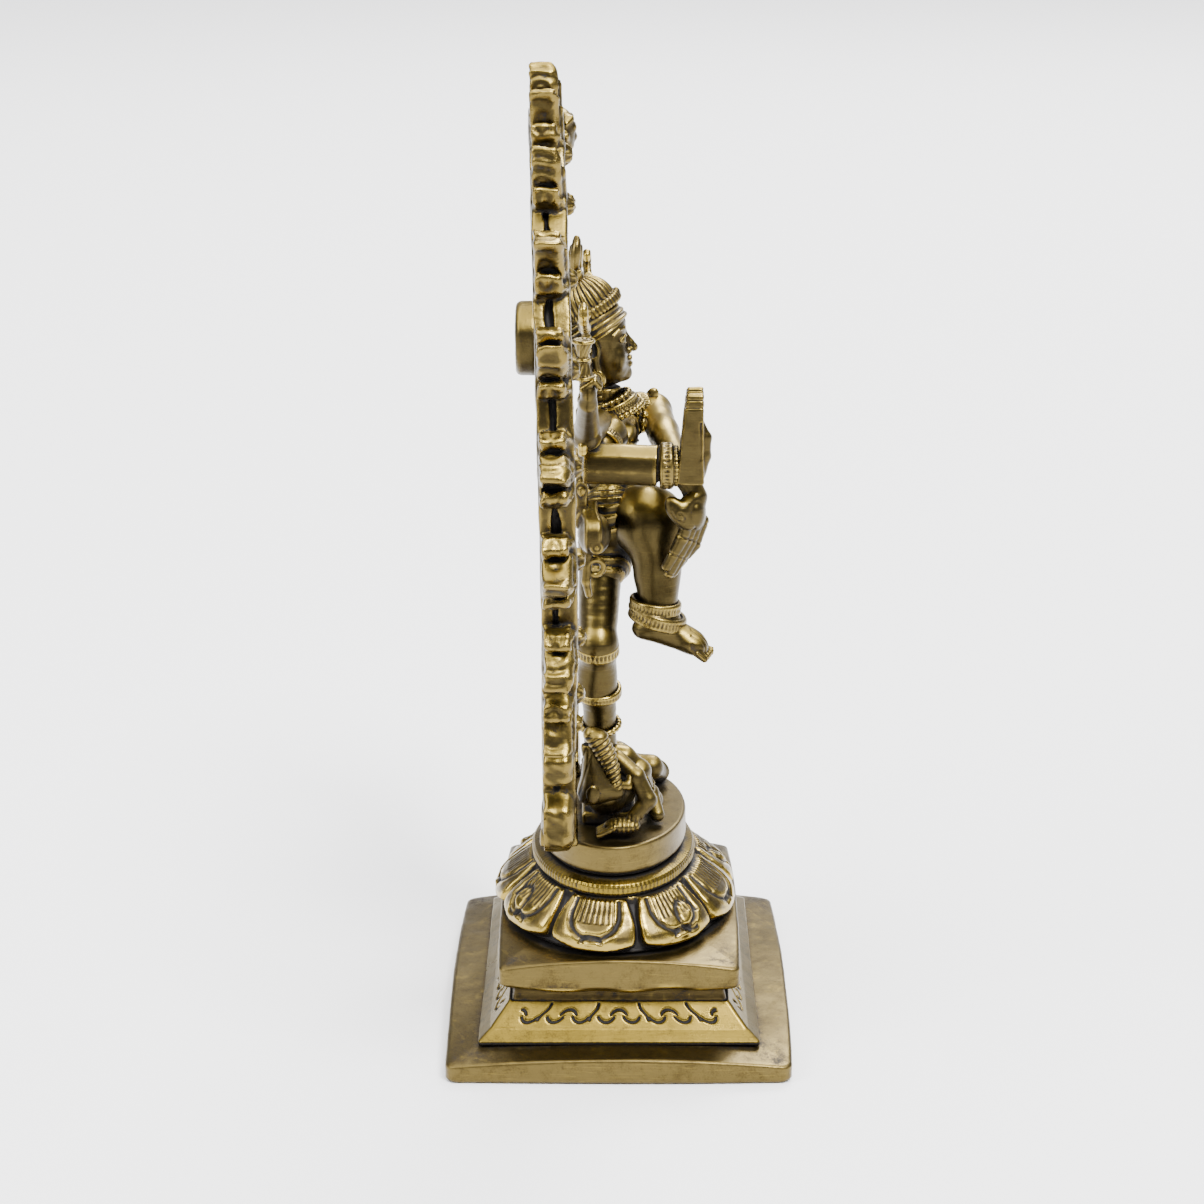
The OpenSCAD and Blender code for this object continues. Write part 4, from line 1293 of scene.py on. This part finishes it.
def make_standing_leg():
    def shape(P):
        calf = KNEE * 0.62 + ANKLE * 0.38
        d = melt(1.2, rod(P, HIP, KNEE, 3.9, 3.1), ball(P, KNEE, 3.2), rod(P, KNEE, ANKLE, 3.1, 2.7),
                 egg(P, calf + (0, 0.5, 0), (3.3, 3.3, 5.2)), ball(P, ANKLE + (0, 0, -2.2), 2.7))
        d = melt(0.7, d, egg(P, KNEE + (0, -2.1, 0.2), (1.7, 1.1, 1.7)))
        return d + cast_skin(P, 0.06, 31) + 0.035 * noise((P[0], P[1], P[2] * 6), 3, 32)

    sculpt("standing_leg", shape, above_deck(-17, -2.5, 10.8), above_deck(1.6, 7.9, 55.4), 0.2,
           ["standing_leg"], "skin_brass")


def make_standing_foot():
    def shape(P):
        heel = ANKLE + (0, 0.2, -3.4)
        arch = ANKLE + (-0.3, -4.0, -4.2)
        ball_of_foot = ANKLE + (-0.5, -7.0, -6.6)
        d = melt(0.8, egg(P, heel, (2.4, 2.9, 2.2)), rod(P, heel, arch, 2.3, 2.0),
                 rod(P, arch, ball_of_foot, 2.0, 1.7),
                 egg(P, ball_of_foot, (2.7, 1.5, 1.9)), rod(P, ANKLE, heel, 2.7, 2.5))
        for k in range(5):
            x = -2.1 + 1.05 * k
            knuckle = ball_of_foot + (x, -0.7, -0.7)
            tip = ball_of_foot + (x * 1.08, -1.7, -3.4 + 0.22 * abs(k - 3))
            toe = chain(P, [knuckle, tip], [0.72, 0.6], 0.2)
            d = melt(0.12, d, toe, egg(P, tip + (0, -0.35, 0.2), (0.4, 0.4, 0.5)))
        return d + cast_skin(P, 0.05, 33)

    sculpt("standing_foot", shape, above_deck(-11.6, -7.6, 4.4), above_deck(-3.6, 6.4, 16.6), 0.17,
           ["standing_foot"], "skin_brass", 0.4, 0.07)


def make_raised_leg():
    def shape(P):
        shin_top = RAISED_KNEE + (-0.6, -1.6, -1.2)
        calf = shin_top * 0.55 + RAISED_ANKLE * 0.45
        d = melt(2.4, ball(P, RAISED_HIP, 5.9), rod(P, RAISED_HIP, RAISED_KNEE, 5.8, 5.2),
                 egg(P, RAISED_KNEE + (0.4, 0, 0.4), (5.2, 6.0, 5.6)),
                 rod(P, shin_top, RAISED_ANKLE, 4.4, 3.25))
        d = melt(1.5, d, egg(P, calf + (0.5, 0.2, 0), (3.7, 3.5, 5.4)))
        return d + cast_skin(P, 0.08, 34)

    sculpt("raised_leg", shape, above_deck(-18.5, -12.2, 37.4), above_deck(11.6, 7.6, 61), 0.22,
           ["raised_leg"], "skin_brass")


def make_raised_foot():
    def shape(P):
        a = RAISED_ANKLE
        d = melt(1.3, rod(P, a + (0, 0, 0.5), a + (-0.3, -0.6, -1.8), 3.3, 3.2),
                 egg(P, a + (-0.5, 1.9, -3.0), (2.4, 2.4, 1.9)),
                 egg(P, a + (-0.8, -2.4, -3.7), (2.7, 5.0, 2.4), (22, 0, 0)),
                 egg(P, a + (-1.2, -5.8, -5.3), (3.1, 2.9, 1.9), (24, 0, 0)))
        for k in range(5):
            x = -2.35 + 1.12 * k
            knuckle = a + (-1.3 + x, -6.9 + 0.12 * abs(k - 3), -6.2)
            tip = a + (-1.3 + x * 1.06, -9.0 + 0.35 * abs(k - 3.5), -7.3)
            toe = chain(P, [knuckle, tip], [0.78, 0.64], 0.2)
            d = melt(0.14, d, toe, egg(P, tip + (0, -0.2, 0.35), (0.42, 0.5, 0.3)))
        rays = (P[0] - a[0] + 1.3 + 2.35 + 0.56) % 1.12 - 0.56
        d = d + line_cut(np.abs(rays) - 0.56, 0.14, 0.2) * (P[1] < a[1] - 5.4)
        return d + cast_skin(P, 0.05, 35)

    sculpt("raised_foot", shape, RAISED_ANKLE + (-5.4, -11, -9.6), RAISED_ANKLE + (3.6, 5.6, 1.6), 0.17,
           ["raised_foot"], "skin_brass", 0.4, 0.07)


def make_knee_band():
    def shape(P):
        return ribbed_band(P, KNEE, ANKLE, 0.03, 3.3, 1.4, 0.75, 32)

    sculpt("knee_band", shape, KNEE + (-5.4, -5.2, -3), KNEE + (5.4, 5.2, 3), 0.18, ["knee_band"],
           "ornament_brass", 0.5, 0.09)


def make_anklets():
    def shape(P):
        d = ribbed_band(P, KNEE, ANKLE, 0.5, 3.45, 0.8, 0.95, 40)
        d = np.minimum(d, bead_ring(P, KNEE, ANKLE, 0.88, 3.2, 0.6, 24))
        high_ring, low_ring = RAISED_ANKLE + (0, 0.4, 0.9), RAISED_ANKLE + (0, 0.0, -1.1)
        d = np.minimum(d, ribbed_band(P, high_ring, high_ring + (0, -0.14, 1), 0, 3.95, 1.3, 1.0, 44))
        d = np.minimum(d, ribbed_band(P, low_ring, low_ring + (0, -0.3, 1), 0, 4.4, 1.4, 1.1, 44))
        return d + 0.05 * noise(P, 2, 36)

    sculpt("anklets", shape, above_deck(-20.6, -13, 14.6), above_deck(-3, 7, 46), 0.2,
           ["anklets"], "ornament_brass", 0.5, 0.09)


# ---------------------------------------------------------------------------
# Dwarf and cobra
# ---------------------------------------------------------------------------

def make_dwarf_body():
    def shape(P):
        q = (P[0], P[1], P[2] - deck)
        d = melt(1.4, egg(q, (-5, 1.8, 5.4), (6.6, 5.0, 4.6)), egg(q, (3.4, 1.6, 5.0), (5.6, 5.1, 4.6)),
                 egg(q, (8.0, 1.4, 4.6), (3.8, 4.8, 4.2)), rod(q, (-10, 2, 5.4), (-13, 2.2, 7), 3.2, 2.6))
        d = melt(0.6, d, brick(q, (-1, 1.8, 1.2), (9.4, 4.6, 1.2), 0.6))
        waist = np.exp(-((q[0] - 5.6) / 0.9) ** 4)
        d = d - 0.35 * waist * (1 + 0.3 * np.cos(np.arctan2(q[1] - 1.8, q[2] - 4.5) * 26))
        d = d + line_cut((q[0] - 8.3 + 0.6) % 1.2 - 0.6, 0.16, 0.2) * (q[0] > 6.6)
        d = np.maximum(d, -q[2])
        return d + cast_skin(P, 0.08, 41)

    sculpt("dwarf_body", shape, above_deck(-16, -4.6, -0.1), above_deck(12.6, 7.4, 11), 0.2,
           ["dwarf_body"], "dwarf_brass")


def make_dwarf_head():
    def shape(P):
        q = (P[0], P[1], P[2] - deck)
        tip, snout, nape = (-14.6, 5.2, 16.0), (-15.4, 0.6, 8.4), (-14.6, 5.0, 7.4)
        cheek = (-14.6, 3.6, 9.2)
        d = melt(1.6, rod(q, tip, cheek, 0.9, 2.7), rod(q, cheek, snout, 2.7, 1.0),
                 rod(q, nape, snout, 1.9, 1.0),
                 rod(q, tip, snout, 0.8, 0.9))
        m = (np.abs(q[0] + 14.6), q[1], q[2])
        d = melt(0.12, d, egg(m, (1.7, 0.75, 9.9), (0.75, 0.6, 0.5)))
        d = carve(d, chain(m, [(0, -0.6, 6.6), (1.4, 0.3, 6.5)], [0.2, 0.16], 0.1), 0.15)
        d = melt(0.2, d, egg(m, (3.3, 4.4, 8.6), (0.6, 1.2, 1.7)))
        lines = q[1] * 0.9 + q[2] * 0.25
        d = d + line_cut((lines + 0.5) % 1.0 - 0.5, 0.14, 0.14) * (q[1] > 4.6)
        return d + cast_skin(P, 0.06, 42)

    sculpt("dwarf_head", shape, above_deck(-19.2, -1.6, 2.6), above_deck(-10, 7.4, 16.4), 0.17,
           ["dwarf_head"], "dwarf_brass", 0.5, 0.08)


def make_dwarf_arms():
    def shape(P):
        q = (P[0], P[1], P[2] - deck)
        near = chain(q, [(-11.4, 0.2, 12.6), (-13.4, -3.0, 10.2), (-14.4, -4.9, 6.4)], [1.5, 1.45, 1.5], 0.5)
        near = melt(0.5, near, rod(q, (-14.4, -4.9, 6.2), (-15.4, -2.4, 3.4), 1.5, 1.25))
        palm = egg(q, (-15.8, -0.6, 2.2), (1.9, 3.2, 1.35))
        near = melt(0.4, near, palm)
        for k in range(4):
            x = -17.2 + 0.95 * k
            near = melt(0.12, near, chain(q, [(x, 0.6, 2.4), (x - 0.1, 3.4, 1.0)], [0.62, 0.52], 0.1))
        near = near + line_cut((q[1] + 10.4) % 0.8 - 0.4, 0.13, 0.16) * (q[2] < 4.2) * (q[1] < 1.2)
        far = chain(q, [(-8.4, -2.2, 7.6), (-6.2, -5.4, 4.4), (-9.8, -6.6, 1.8)], [1.8, 1.5, 1.25], 0.4)
        shield = egg(q, (-4.4, -6.2, 2.2), (2.2, 1.5, 2.0))
        d = np.minimum(near, melt(0.4, far, shield))
        return np.maximum(d, -q[2]) + cast_skin(P, 0.05, 43)

    sculpt("dwarf_arms", shape, above_deck(-19.2, -8.6, -0.1), above_deck(-1.4, 5, 14.8), 0.17,
           ["dwarf_arms"], "dwarf_brass", 0.5, 0.08)


def make_dwarf_legs():
    def shape(P):
        q = (P[0], P[1], P[2] - deck)
        front = chain(q, [(7, 0, 4.6), (5.4, -5.6, 4.8), (9.6, -7.0, 2.4), (11.6, -7.2, 1.4)],
                      [2.6, 2.1, 1.6, 1.2], 0.8)
        back = chain(q, [(9.4, 2.4, 4.6), (13.6, 3.4, 5.6), (15.6, 1.2, 2.4), (15.8, -1.0, 1.3)],
                     [2.6, 2.0, 1.6, 1.2], 0.8)
        d = np.minimum(front, back)
        d = melt(0.3, d, egg(q, (12.4, -7.3, 1.2), (1.9, 1.2, 1.2)),
                 egg(q, (15.8, -2.0, 1.2), (1.2, 1.9, 1.2)))
        d = d - 0.3 * np.exp(-((q[0] - 9.2) / 0.5) ** 2) * (q[1] < -4)
        return np.maximum(d, -q[2]) + cast_skin(P, 0.05, 44)

    sculpt("dwarf_legs", shape, above_deck(2, -9.2, -0.1), above_deck(18.4, 6.6, 8.6), 0.2,
           ["dwarf_legs"], "dwarf_brass", 0.5, 0.08)


def make_cobra():
    """The small rearing snake in the dwarf's hand, ribbed across its belly."""
    def shape(P):
        q = (P[0], P[1], P[2] - deck)
        path = [(-15.4, 4.6, 18.4), (-15.8, 3.5, 17.6), (-16.1, 2.3, 15.4), (-16.1, 1.2, 12.6),
                (-15.9, 0.4, 9.4)]
        d = chain(q, path, [1.5, 1.85, 1.75, 1.4, 1.0], 0.4)
        t = axis_of(q, path[-1], path[1])[0]
        d = d + 0.28 * (0.5 - 0.5 * np.cos((t + 0.25 * (q[1] - 2)) * 2 * math.pi / 1.02)) ** 2 * (q[2] < 18.4)
        tail = chain(q, [(-15.8, 0.4, 9.4), (-14.8, -1.6, 9.0), (-13.2, -2.2, 11.6)], [0.8, 0.7, 0.55], 0.3)
        return melt(0.2, d, tail) + cast_skin(P, 0.04, 45)

    sculpt("cobra", shape, above_deck(-18.4, -3.6, 7.4), above_deck(-11.8, 7.2, 20.6), 0.15,
           ["cobra"], "dwarf_brass", 0.45, 0.08)


make_arch()
make_head_disc()
make_torso()
make_necklace()
make_hip_cloth()
make_waist_belt()
make_sash()
make_head()
make_crown()
make_crest()
make_hair("hair_locks_right", -1)
make_hair("hair_locks_left", 1)
make_earrings()
make_lower_right_arm()
make_abhaya_hand()
make_lower_left_arm()
make_hanging_hand()
make_upper_arm("upper_right_arm", -1, False)
make_upper_arm("upper_left_arm", 1, True)
make_damaru()
make_hand_flame()
make_armlets()
make_bangles()
make_standing_leg()
make_standing_foot()
make_raised_leg()
make_raised_foot()
make_knee_band()
make_anklets()
make_dwarf_body()
make_dwarf_head()
make_dwarf_arms()
make_dwarf_legs()
make_cobra()

# ---------------------------------------------------------------------------
# Shading: how deep in the casting's hollows each point lies
# ---------------------------------------------------------------------------

def shade_pieces():
    """Writes the attribute shade, 0 in the open and 1 deep in a crevice."""
    solid = np.clip(filled / FULL, 0, 1)
    near = box_blur(solid, 2)
    far = box_blur(box_blur(solid, 3), 3)
    for piece, _ in pieces:
        mesh = piece.data
        count = len(mesh.vertices)
        place = np.empty(count * 3, np.float32)
        normal = np.empty(count * 3, np.float32)
        mesh.vertices.foreach_get("co", place)
        mesh.vertex_normals.foreach_get("vector", normal)
        place = place.reshape(-1, 3) / MM
        normal = normal.reshape(-1, 3)
        close = pick(near, (place + normal * 1.0 - shade_low) / SHADE_STEP - 0.5)
        wide = pick(far, (place + normal * 2.6 - shade_low) / SHADE_STEP - 0.5)
        shade = np.clip((close - 0.22) * 1.5 + (wide - 0.2) * 1.4, 0, 1)
        mesh.attributes.new("shade", "FLOAT", "POINT").data.foreach_set("value", shade.astype(np.float32))


shade_pieces()


# ---------------------------------------------------------------------------
# Materials
# ---------------------------------------------------------------------------

class Nodes:
    """Short names for building a material's node tree."""

    def __init__(self, material):
        material.use_nodes = True
        self.tree = material.node_tree
        self.shader = self.tree.nodes["Principled BSDF"]

    def add(self, kind, **values):
        node = self.tree.nodes.new(kind)
        for key, value in values.items():
            if hasattr(node, key):
                setattr(node, key, value)
            else:
                node.inputs[key.replace("_", " ")].default_value = value
        return node

    def link(self, out, into):
        self.tree.links.new(out, into)

    def math(self, operation, a, b=0.0, clamp=False):
        node = self.add("ShaderNodeMath", operation=operation, use_clamp=clamp)
        for socket, value in zip(node.inputs, (a, b)):
            if isinstance(value, (int, float)):
                socket.default_value = value
            else:
                self.link(value, socket)
        return node.outputs[0]

    def mix(self, factor, a, b):
        node = self.add("ShaderNodeMix", data_type="RGBA")
        for socket, value in ((node.inputs[0], factor), (node.inputs[6], a), (node.inputs[7], b)):
            if isinstance(value, (int, float, tuple)):
                socket.default_value = value
            else:
                self.link(value, socket)
        return node.outputs[2]

    def noise(self, where, scale, detail=3.0, rough=0.55):
        node = self.add("ShaderNodeTexNoise", Scale=scale, Detail=detail, Roughness=rough)
        self.link(where, node.inputs["Vector"])
        return node.outputs["Fac"]

    def ramp(self, value, low, high):
        node = self.add("ShaderNodeMapRange", clamp=True, interpolation_type="SMOOTHSTEP")
        node.inputs["From Min"].default_value = low
        node.inputs["From Max"].default_value = high
        self.link(value, node.inputs["Value"])
        return node.outputs["Result"]

    def attribute(self, name):
        return self.add("ShaderNodeAttribute", attribute_name=name).outputs["Fac"]


# Colour of the dark patina in small hollows, also used as painted shade in crevices and between parts.
DARK_PATINA_AND_SHADE = (0.006, 0.0045, 0.0035, 1)
BROWN = (0.036, 0.023, 0.0075, 1)


def brass(slot, body, worn, patina_and_shade_strength=1.0, roughness=0.36, marks=1.0, pits=1.0, tone=0.0, painted_top_highlight=0.0):
    """Antique brass: body colour on the faces, worn colour on raised edges, dark patina in small hollows,
    painted shade where nearby metal encloses a point, and a painted highlight on faces turned upwards.
    """
    material = bpy.data.materials.new(slot)
    n = Nodes(material)
    where = n.add("ShaderNodeTexCoord").outputs["Object"]
    relief, shade = n.attribute("relief"), n.attribute("shade")
    clouds = n.noise(where, 110, 4)
    mottle = n.noise(where, 620, 4, 0.66)
    grain = n.noise(where, 3400, 3, 0.65)
    stretch = n.add("ShaderNodeMapping", vector_type="POINT")
    stretch.inputs["Scale"].default_value = (180, 180, 5200)
    stretch.inputs["Rotation"].default_value = (0.32, 0.2, 0.5)
    n.link(where, stretch.inputs["Vector"])
    scratch = n.noise(stretch.outputs["Vector"], 1.0, 3, 0.7)

    hollow = n.math("MULTIPLY", relief, -0.62 * patina_and_shade_strength)
    # Painted shade: the shade attribute (how enclosed by nearby metal a point is) is added here, so the
    # colour darkens towards the dark patina colour and brown where shade would fall.
    depth = n.math("ADD", hollow, n.math("MULTIPLY", shade, 1.5 * patina_and_shade_strength))
    speckle = n.math("ADD", n.math("MULTIPLY", n.math("SUBTRACT", mottle, 0.5), 2.2),
                     n.math("MULTIPLY", n.math("SUBTRACT", grain, 0.5), 1.6))
    depth = n.math("ADD", depth, n.math("MULTIPLY", speckle, patina_and_shade_strength * pits ** 0.5))
    depth = n.math("ADD", depth, tone)
    patina_and_shade = n.ramp(depth, 0.2, 1.0)
    tarnish_and_shade = n.ramp(n.math("ADD", depth, n.math("MULTIPLY", n.math("SUBTRACT", clouds, 0.5), 1.1)), -0.15, 0.6)
    proud = n.ramp(n.math("ADD", relief, n.math("MULTIPLY", n.math("SUBTRACT", mottle, 0.5), 0.9)), 0.25,
                   1.15)

    # Brown tarnish that is partly painted shade, since depth holds the shade attribute.
    colour = n.mix(n.math("MULTIPLY", tarnish_and_shade, 0.62), body, BROWN)
    colour = n.mix(n.math("MULTIPLY", n.ramp(scratch, 0.55, 0.75), 0.25 * marks), colour, worn)
    colour = n.mix(n.math("MULTIPLY", proud, 0.8), colour, worn)
    # Painted highlight: faces turned upwards are mixed towards GOLD, as if lit from above.
    tilt = n.add("ShaderNodeSeparateXYZ")
    n.link(n.add("ShaderNodeNewGeometry").outputs["Normal"], tilt.inputs[0])
    colour = n.mix(n.math("MULTIPLY", n.ramp(tilt.outputs["Z"], 0.3, 0.75), painted_top_highlight), colour, GOLD)
    # Dark patina in small hollows together with painted shade in crevices and between parts.
    colour = n.mix(patina_and_shade, colour, DARK_PATINA_AND_SHADE)
    n.link(colour, n.shader.inputs["Base Color"])

    metal = n.math("SUBTRACT", 1.0, n.math("MULTIPLY", patina_and_shade, 0.55))
    n.link(metal, n.shader.inputs["Metallic"])
    rough = n.math("ADD", roughness, n.math("MULTIPLY", patina_and_shade, 0.32))
    rough = n.math("ADD", rough, n.math("MULTIPLY", n.math("SUBTRACT", clouds, 0.5), 0.18))
    rough = n.math("SUBTRACT", rough, n.math("MULTIPLY", proud, 0.1), True)
    n.link(rough, n.shader.inputs["Roughness"])

    height = n.math("ADD", n.math("MULTIPLY", mottle, 0.5 * pits), n.math("MULTIPLY", grain, 0.22 * pits))
    height = n.math("ADD", height, n.math("MULTIPLY", scratch, 0.3 * marks))
    bump = n.add("ShaderNodeBump", Strength=0.5, Distance=0.0002)
    n.link(height, bump.inputs["Height"])
    n.link(bump.outputs["Normal"], n.shader.inputs["Normal"])
    return material


GOLD = (0.40, 0.285, 0.06, 1)
GILT = (0.165, 0.115, 0.02, 1)
STRAW = (0.18, 0.127, 0.034, 1)
SATIN = (0.115, 0.084, 0.028, 1)
OLIVE = (0.05, 0.037, 0.0135, 1)
DRAB = (0.05, 0.036, 0.014, 1)

materials = {
    "satin_brass": brass("satin_brass", SATIN, GOLD, 0.8, 0.36, marks=1.0, pits=0.6),
    "engraved_brass": brass("engraved_brass", GILT, GILT, 1.1, 0.3, marks=0.7, pits=0.5),
    "neck_brass": brass("neck_brass", DRAB, STRAW, 1.0, 0.42, marks=1.2, tone=0.12),
    "lotus_brass": brass("lotus_brass", SATIN, GOLD, 1.0, 0.3, marks=0.5, pits=0.9),
    "fixing_brass": brass("fixing_brass", OLIVE, GOLD, 0.8, 0.4),
    "arch_brass": brass("arch_brass", OLIVE, STRAW, 1.1, 0.36, marks=0.6, pits=1.5, painted_top_highlight=0.6),
    "ornament_brass": brass("ornament_brass", SATIN, GOLD, 1.1, 0.3, marks=0.4, pits=0.6),
    "dwarf_brass": brass("dwarf_brass", OLIVE, STRAW, 1.0, 0.38, tone=0.08, painted_top_highlight=0.35),
    "cloth_brass": brass("cloth_brass", OLIVE, STRAW, 1.0, 0.38, painted_top_highlight=0.5),
    "hair_brass": brass("hair_brass", SATIN, GOLD, 1.2, 0.34, marks=0.4),
    "skin_brass": brass("skin_brass", OLIVE, STRAW, 0.95, 0.33, marks=0.8, pits=0.7, painted_top_highlight=0.6),
}

slot_of = {row["node"]: row["material_slot"] for row in frame["record"]["subparts"]}
for piece, slot in pieces:
    piece.data.materials.clear()
    piece.data.materials.append(materials[slot])
for node, body in frame["nodes"].items():
    body.data.materials.clear()
    body.data.materials.append(materials[slot_of[node]])


# ---------------------------------------------------------------------------
# Stage, light and camera
# ---------------------------------------------------------------------------

def make_floor():
    size = 4.0
    mesh = bpy.data.meshes.new("floor")
    mesh.from_pydata([(-size, -size, 0), (size, -size, 0), (size, size, 0), (-size, size, 0)], [],
                     [(0, 1, 2, 3)])
    floor = bpy.data.objects.new("floor", mesh)
    bpy.context.scene.collection.objects.link(floor)
    material = bpy.data.materials.new("floor_paper")
    material.use_nodes = True
    shader = material.node_tree.nodes["Principled BSDF"]
    shader.inputs["Base Color"].default_value = (0.93, 0.93, 0.93, 1)
    shader.inputs["Roughness"].default_value = 0.9
    shader.inputs["Specular IOR Level"].default_value = 0.1
    mesh.materials.append(material)


def soft_light(name, place, aim, size, watts):
    data = bpy.data.lights.new(name, "AREA")
    data.shape = "DISK"
    data.size = size
    data.energy = watts
    lamp = bpy.data.objects.new(name, data)
    lamp.location = place
    lamp.rotation_euler = (Vector(aim) - Vector(place)).to_track_quat("-Z", "Y").to_euler()
    bpy.context.scene.collection.objects.link(lamp)


def make_world():
    world = bpy.data.worlds.new("studio")
    world.use_nodes = True
    tree = world.node_tree
    where = tree.nodes.new("ShaderNodeTexCoord")
    height = tree.nodes.new("ShaderNodeSeparateXYZ")
    ramp = tree.nodes.new("ShaderNodeValToRGB")
    tree.links.new(where.outputs["Generated"], height.inputs[0])
    tree.links.new(height.outputs["Z"], ramp.inputs["Fac"])
    tree.links.new(ramp.outputs["Color"], tree.nodes["Background"].inputs["Color"])
    tree.nodes["Background"].inputs["Strength"].default_value = 1.5
    stops = [(0.0, 0.7), (0.2, 0.7), (0.36, 0.16), (0.6, 0.25), (0.85, 2.6)]
    while len(ramp.color_ramp.elements) < len(stops):
        ramp.color_ramp.elements.new(0.5)
    for element, (place, level) in zip(ramp.color_ramp.elements, stops):
        element.position = place
        element.color = (level, level, level * 1.02, 1)
    bpy.context.scene.world = world


def make_camera():
    """Looks at the statue's right side from a little above, as far off as a hand camera stands."""
    eye_dist, eye_height, pitch = 0.443, 0.2105, 17.2
    lens_px, frame_px, axis_px = 2700, 1204, 619
    data = bpy.data.cameras.new("camera")
    data.sensor_width = 36
    data.lens = 36 * lens_px / frame_px
    data.shift_x = -(axis_px - frame_px / 2) / frame_px
    data.clip_start = 0.01
    camera = bpy.data.objects.new("camera", data)
    camera.location = (-eye_dist, 0, eye_height)
    camera.rotation_euler = (math.radians(90 - pitch), 0, math.radians(-90))
    bpy.context.scene.collection.objects.link(camera)
    bpy.context.scene.camera = camera


make_floor()
make_world()
soft_light("key", (-1.0, -0.7, 1.9), (0, 0, 0.08), 0.8, 85)
soft_light("fill", (-0.8, 1.5, 1.2), (0, 0, 0.08), 1.0, 30)
soft_light("rim", (1.4, -0.4, 1.5), (0, 0, 0.1), 0.9, 45)
make_camera()
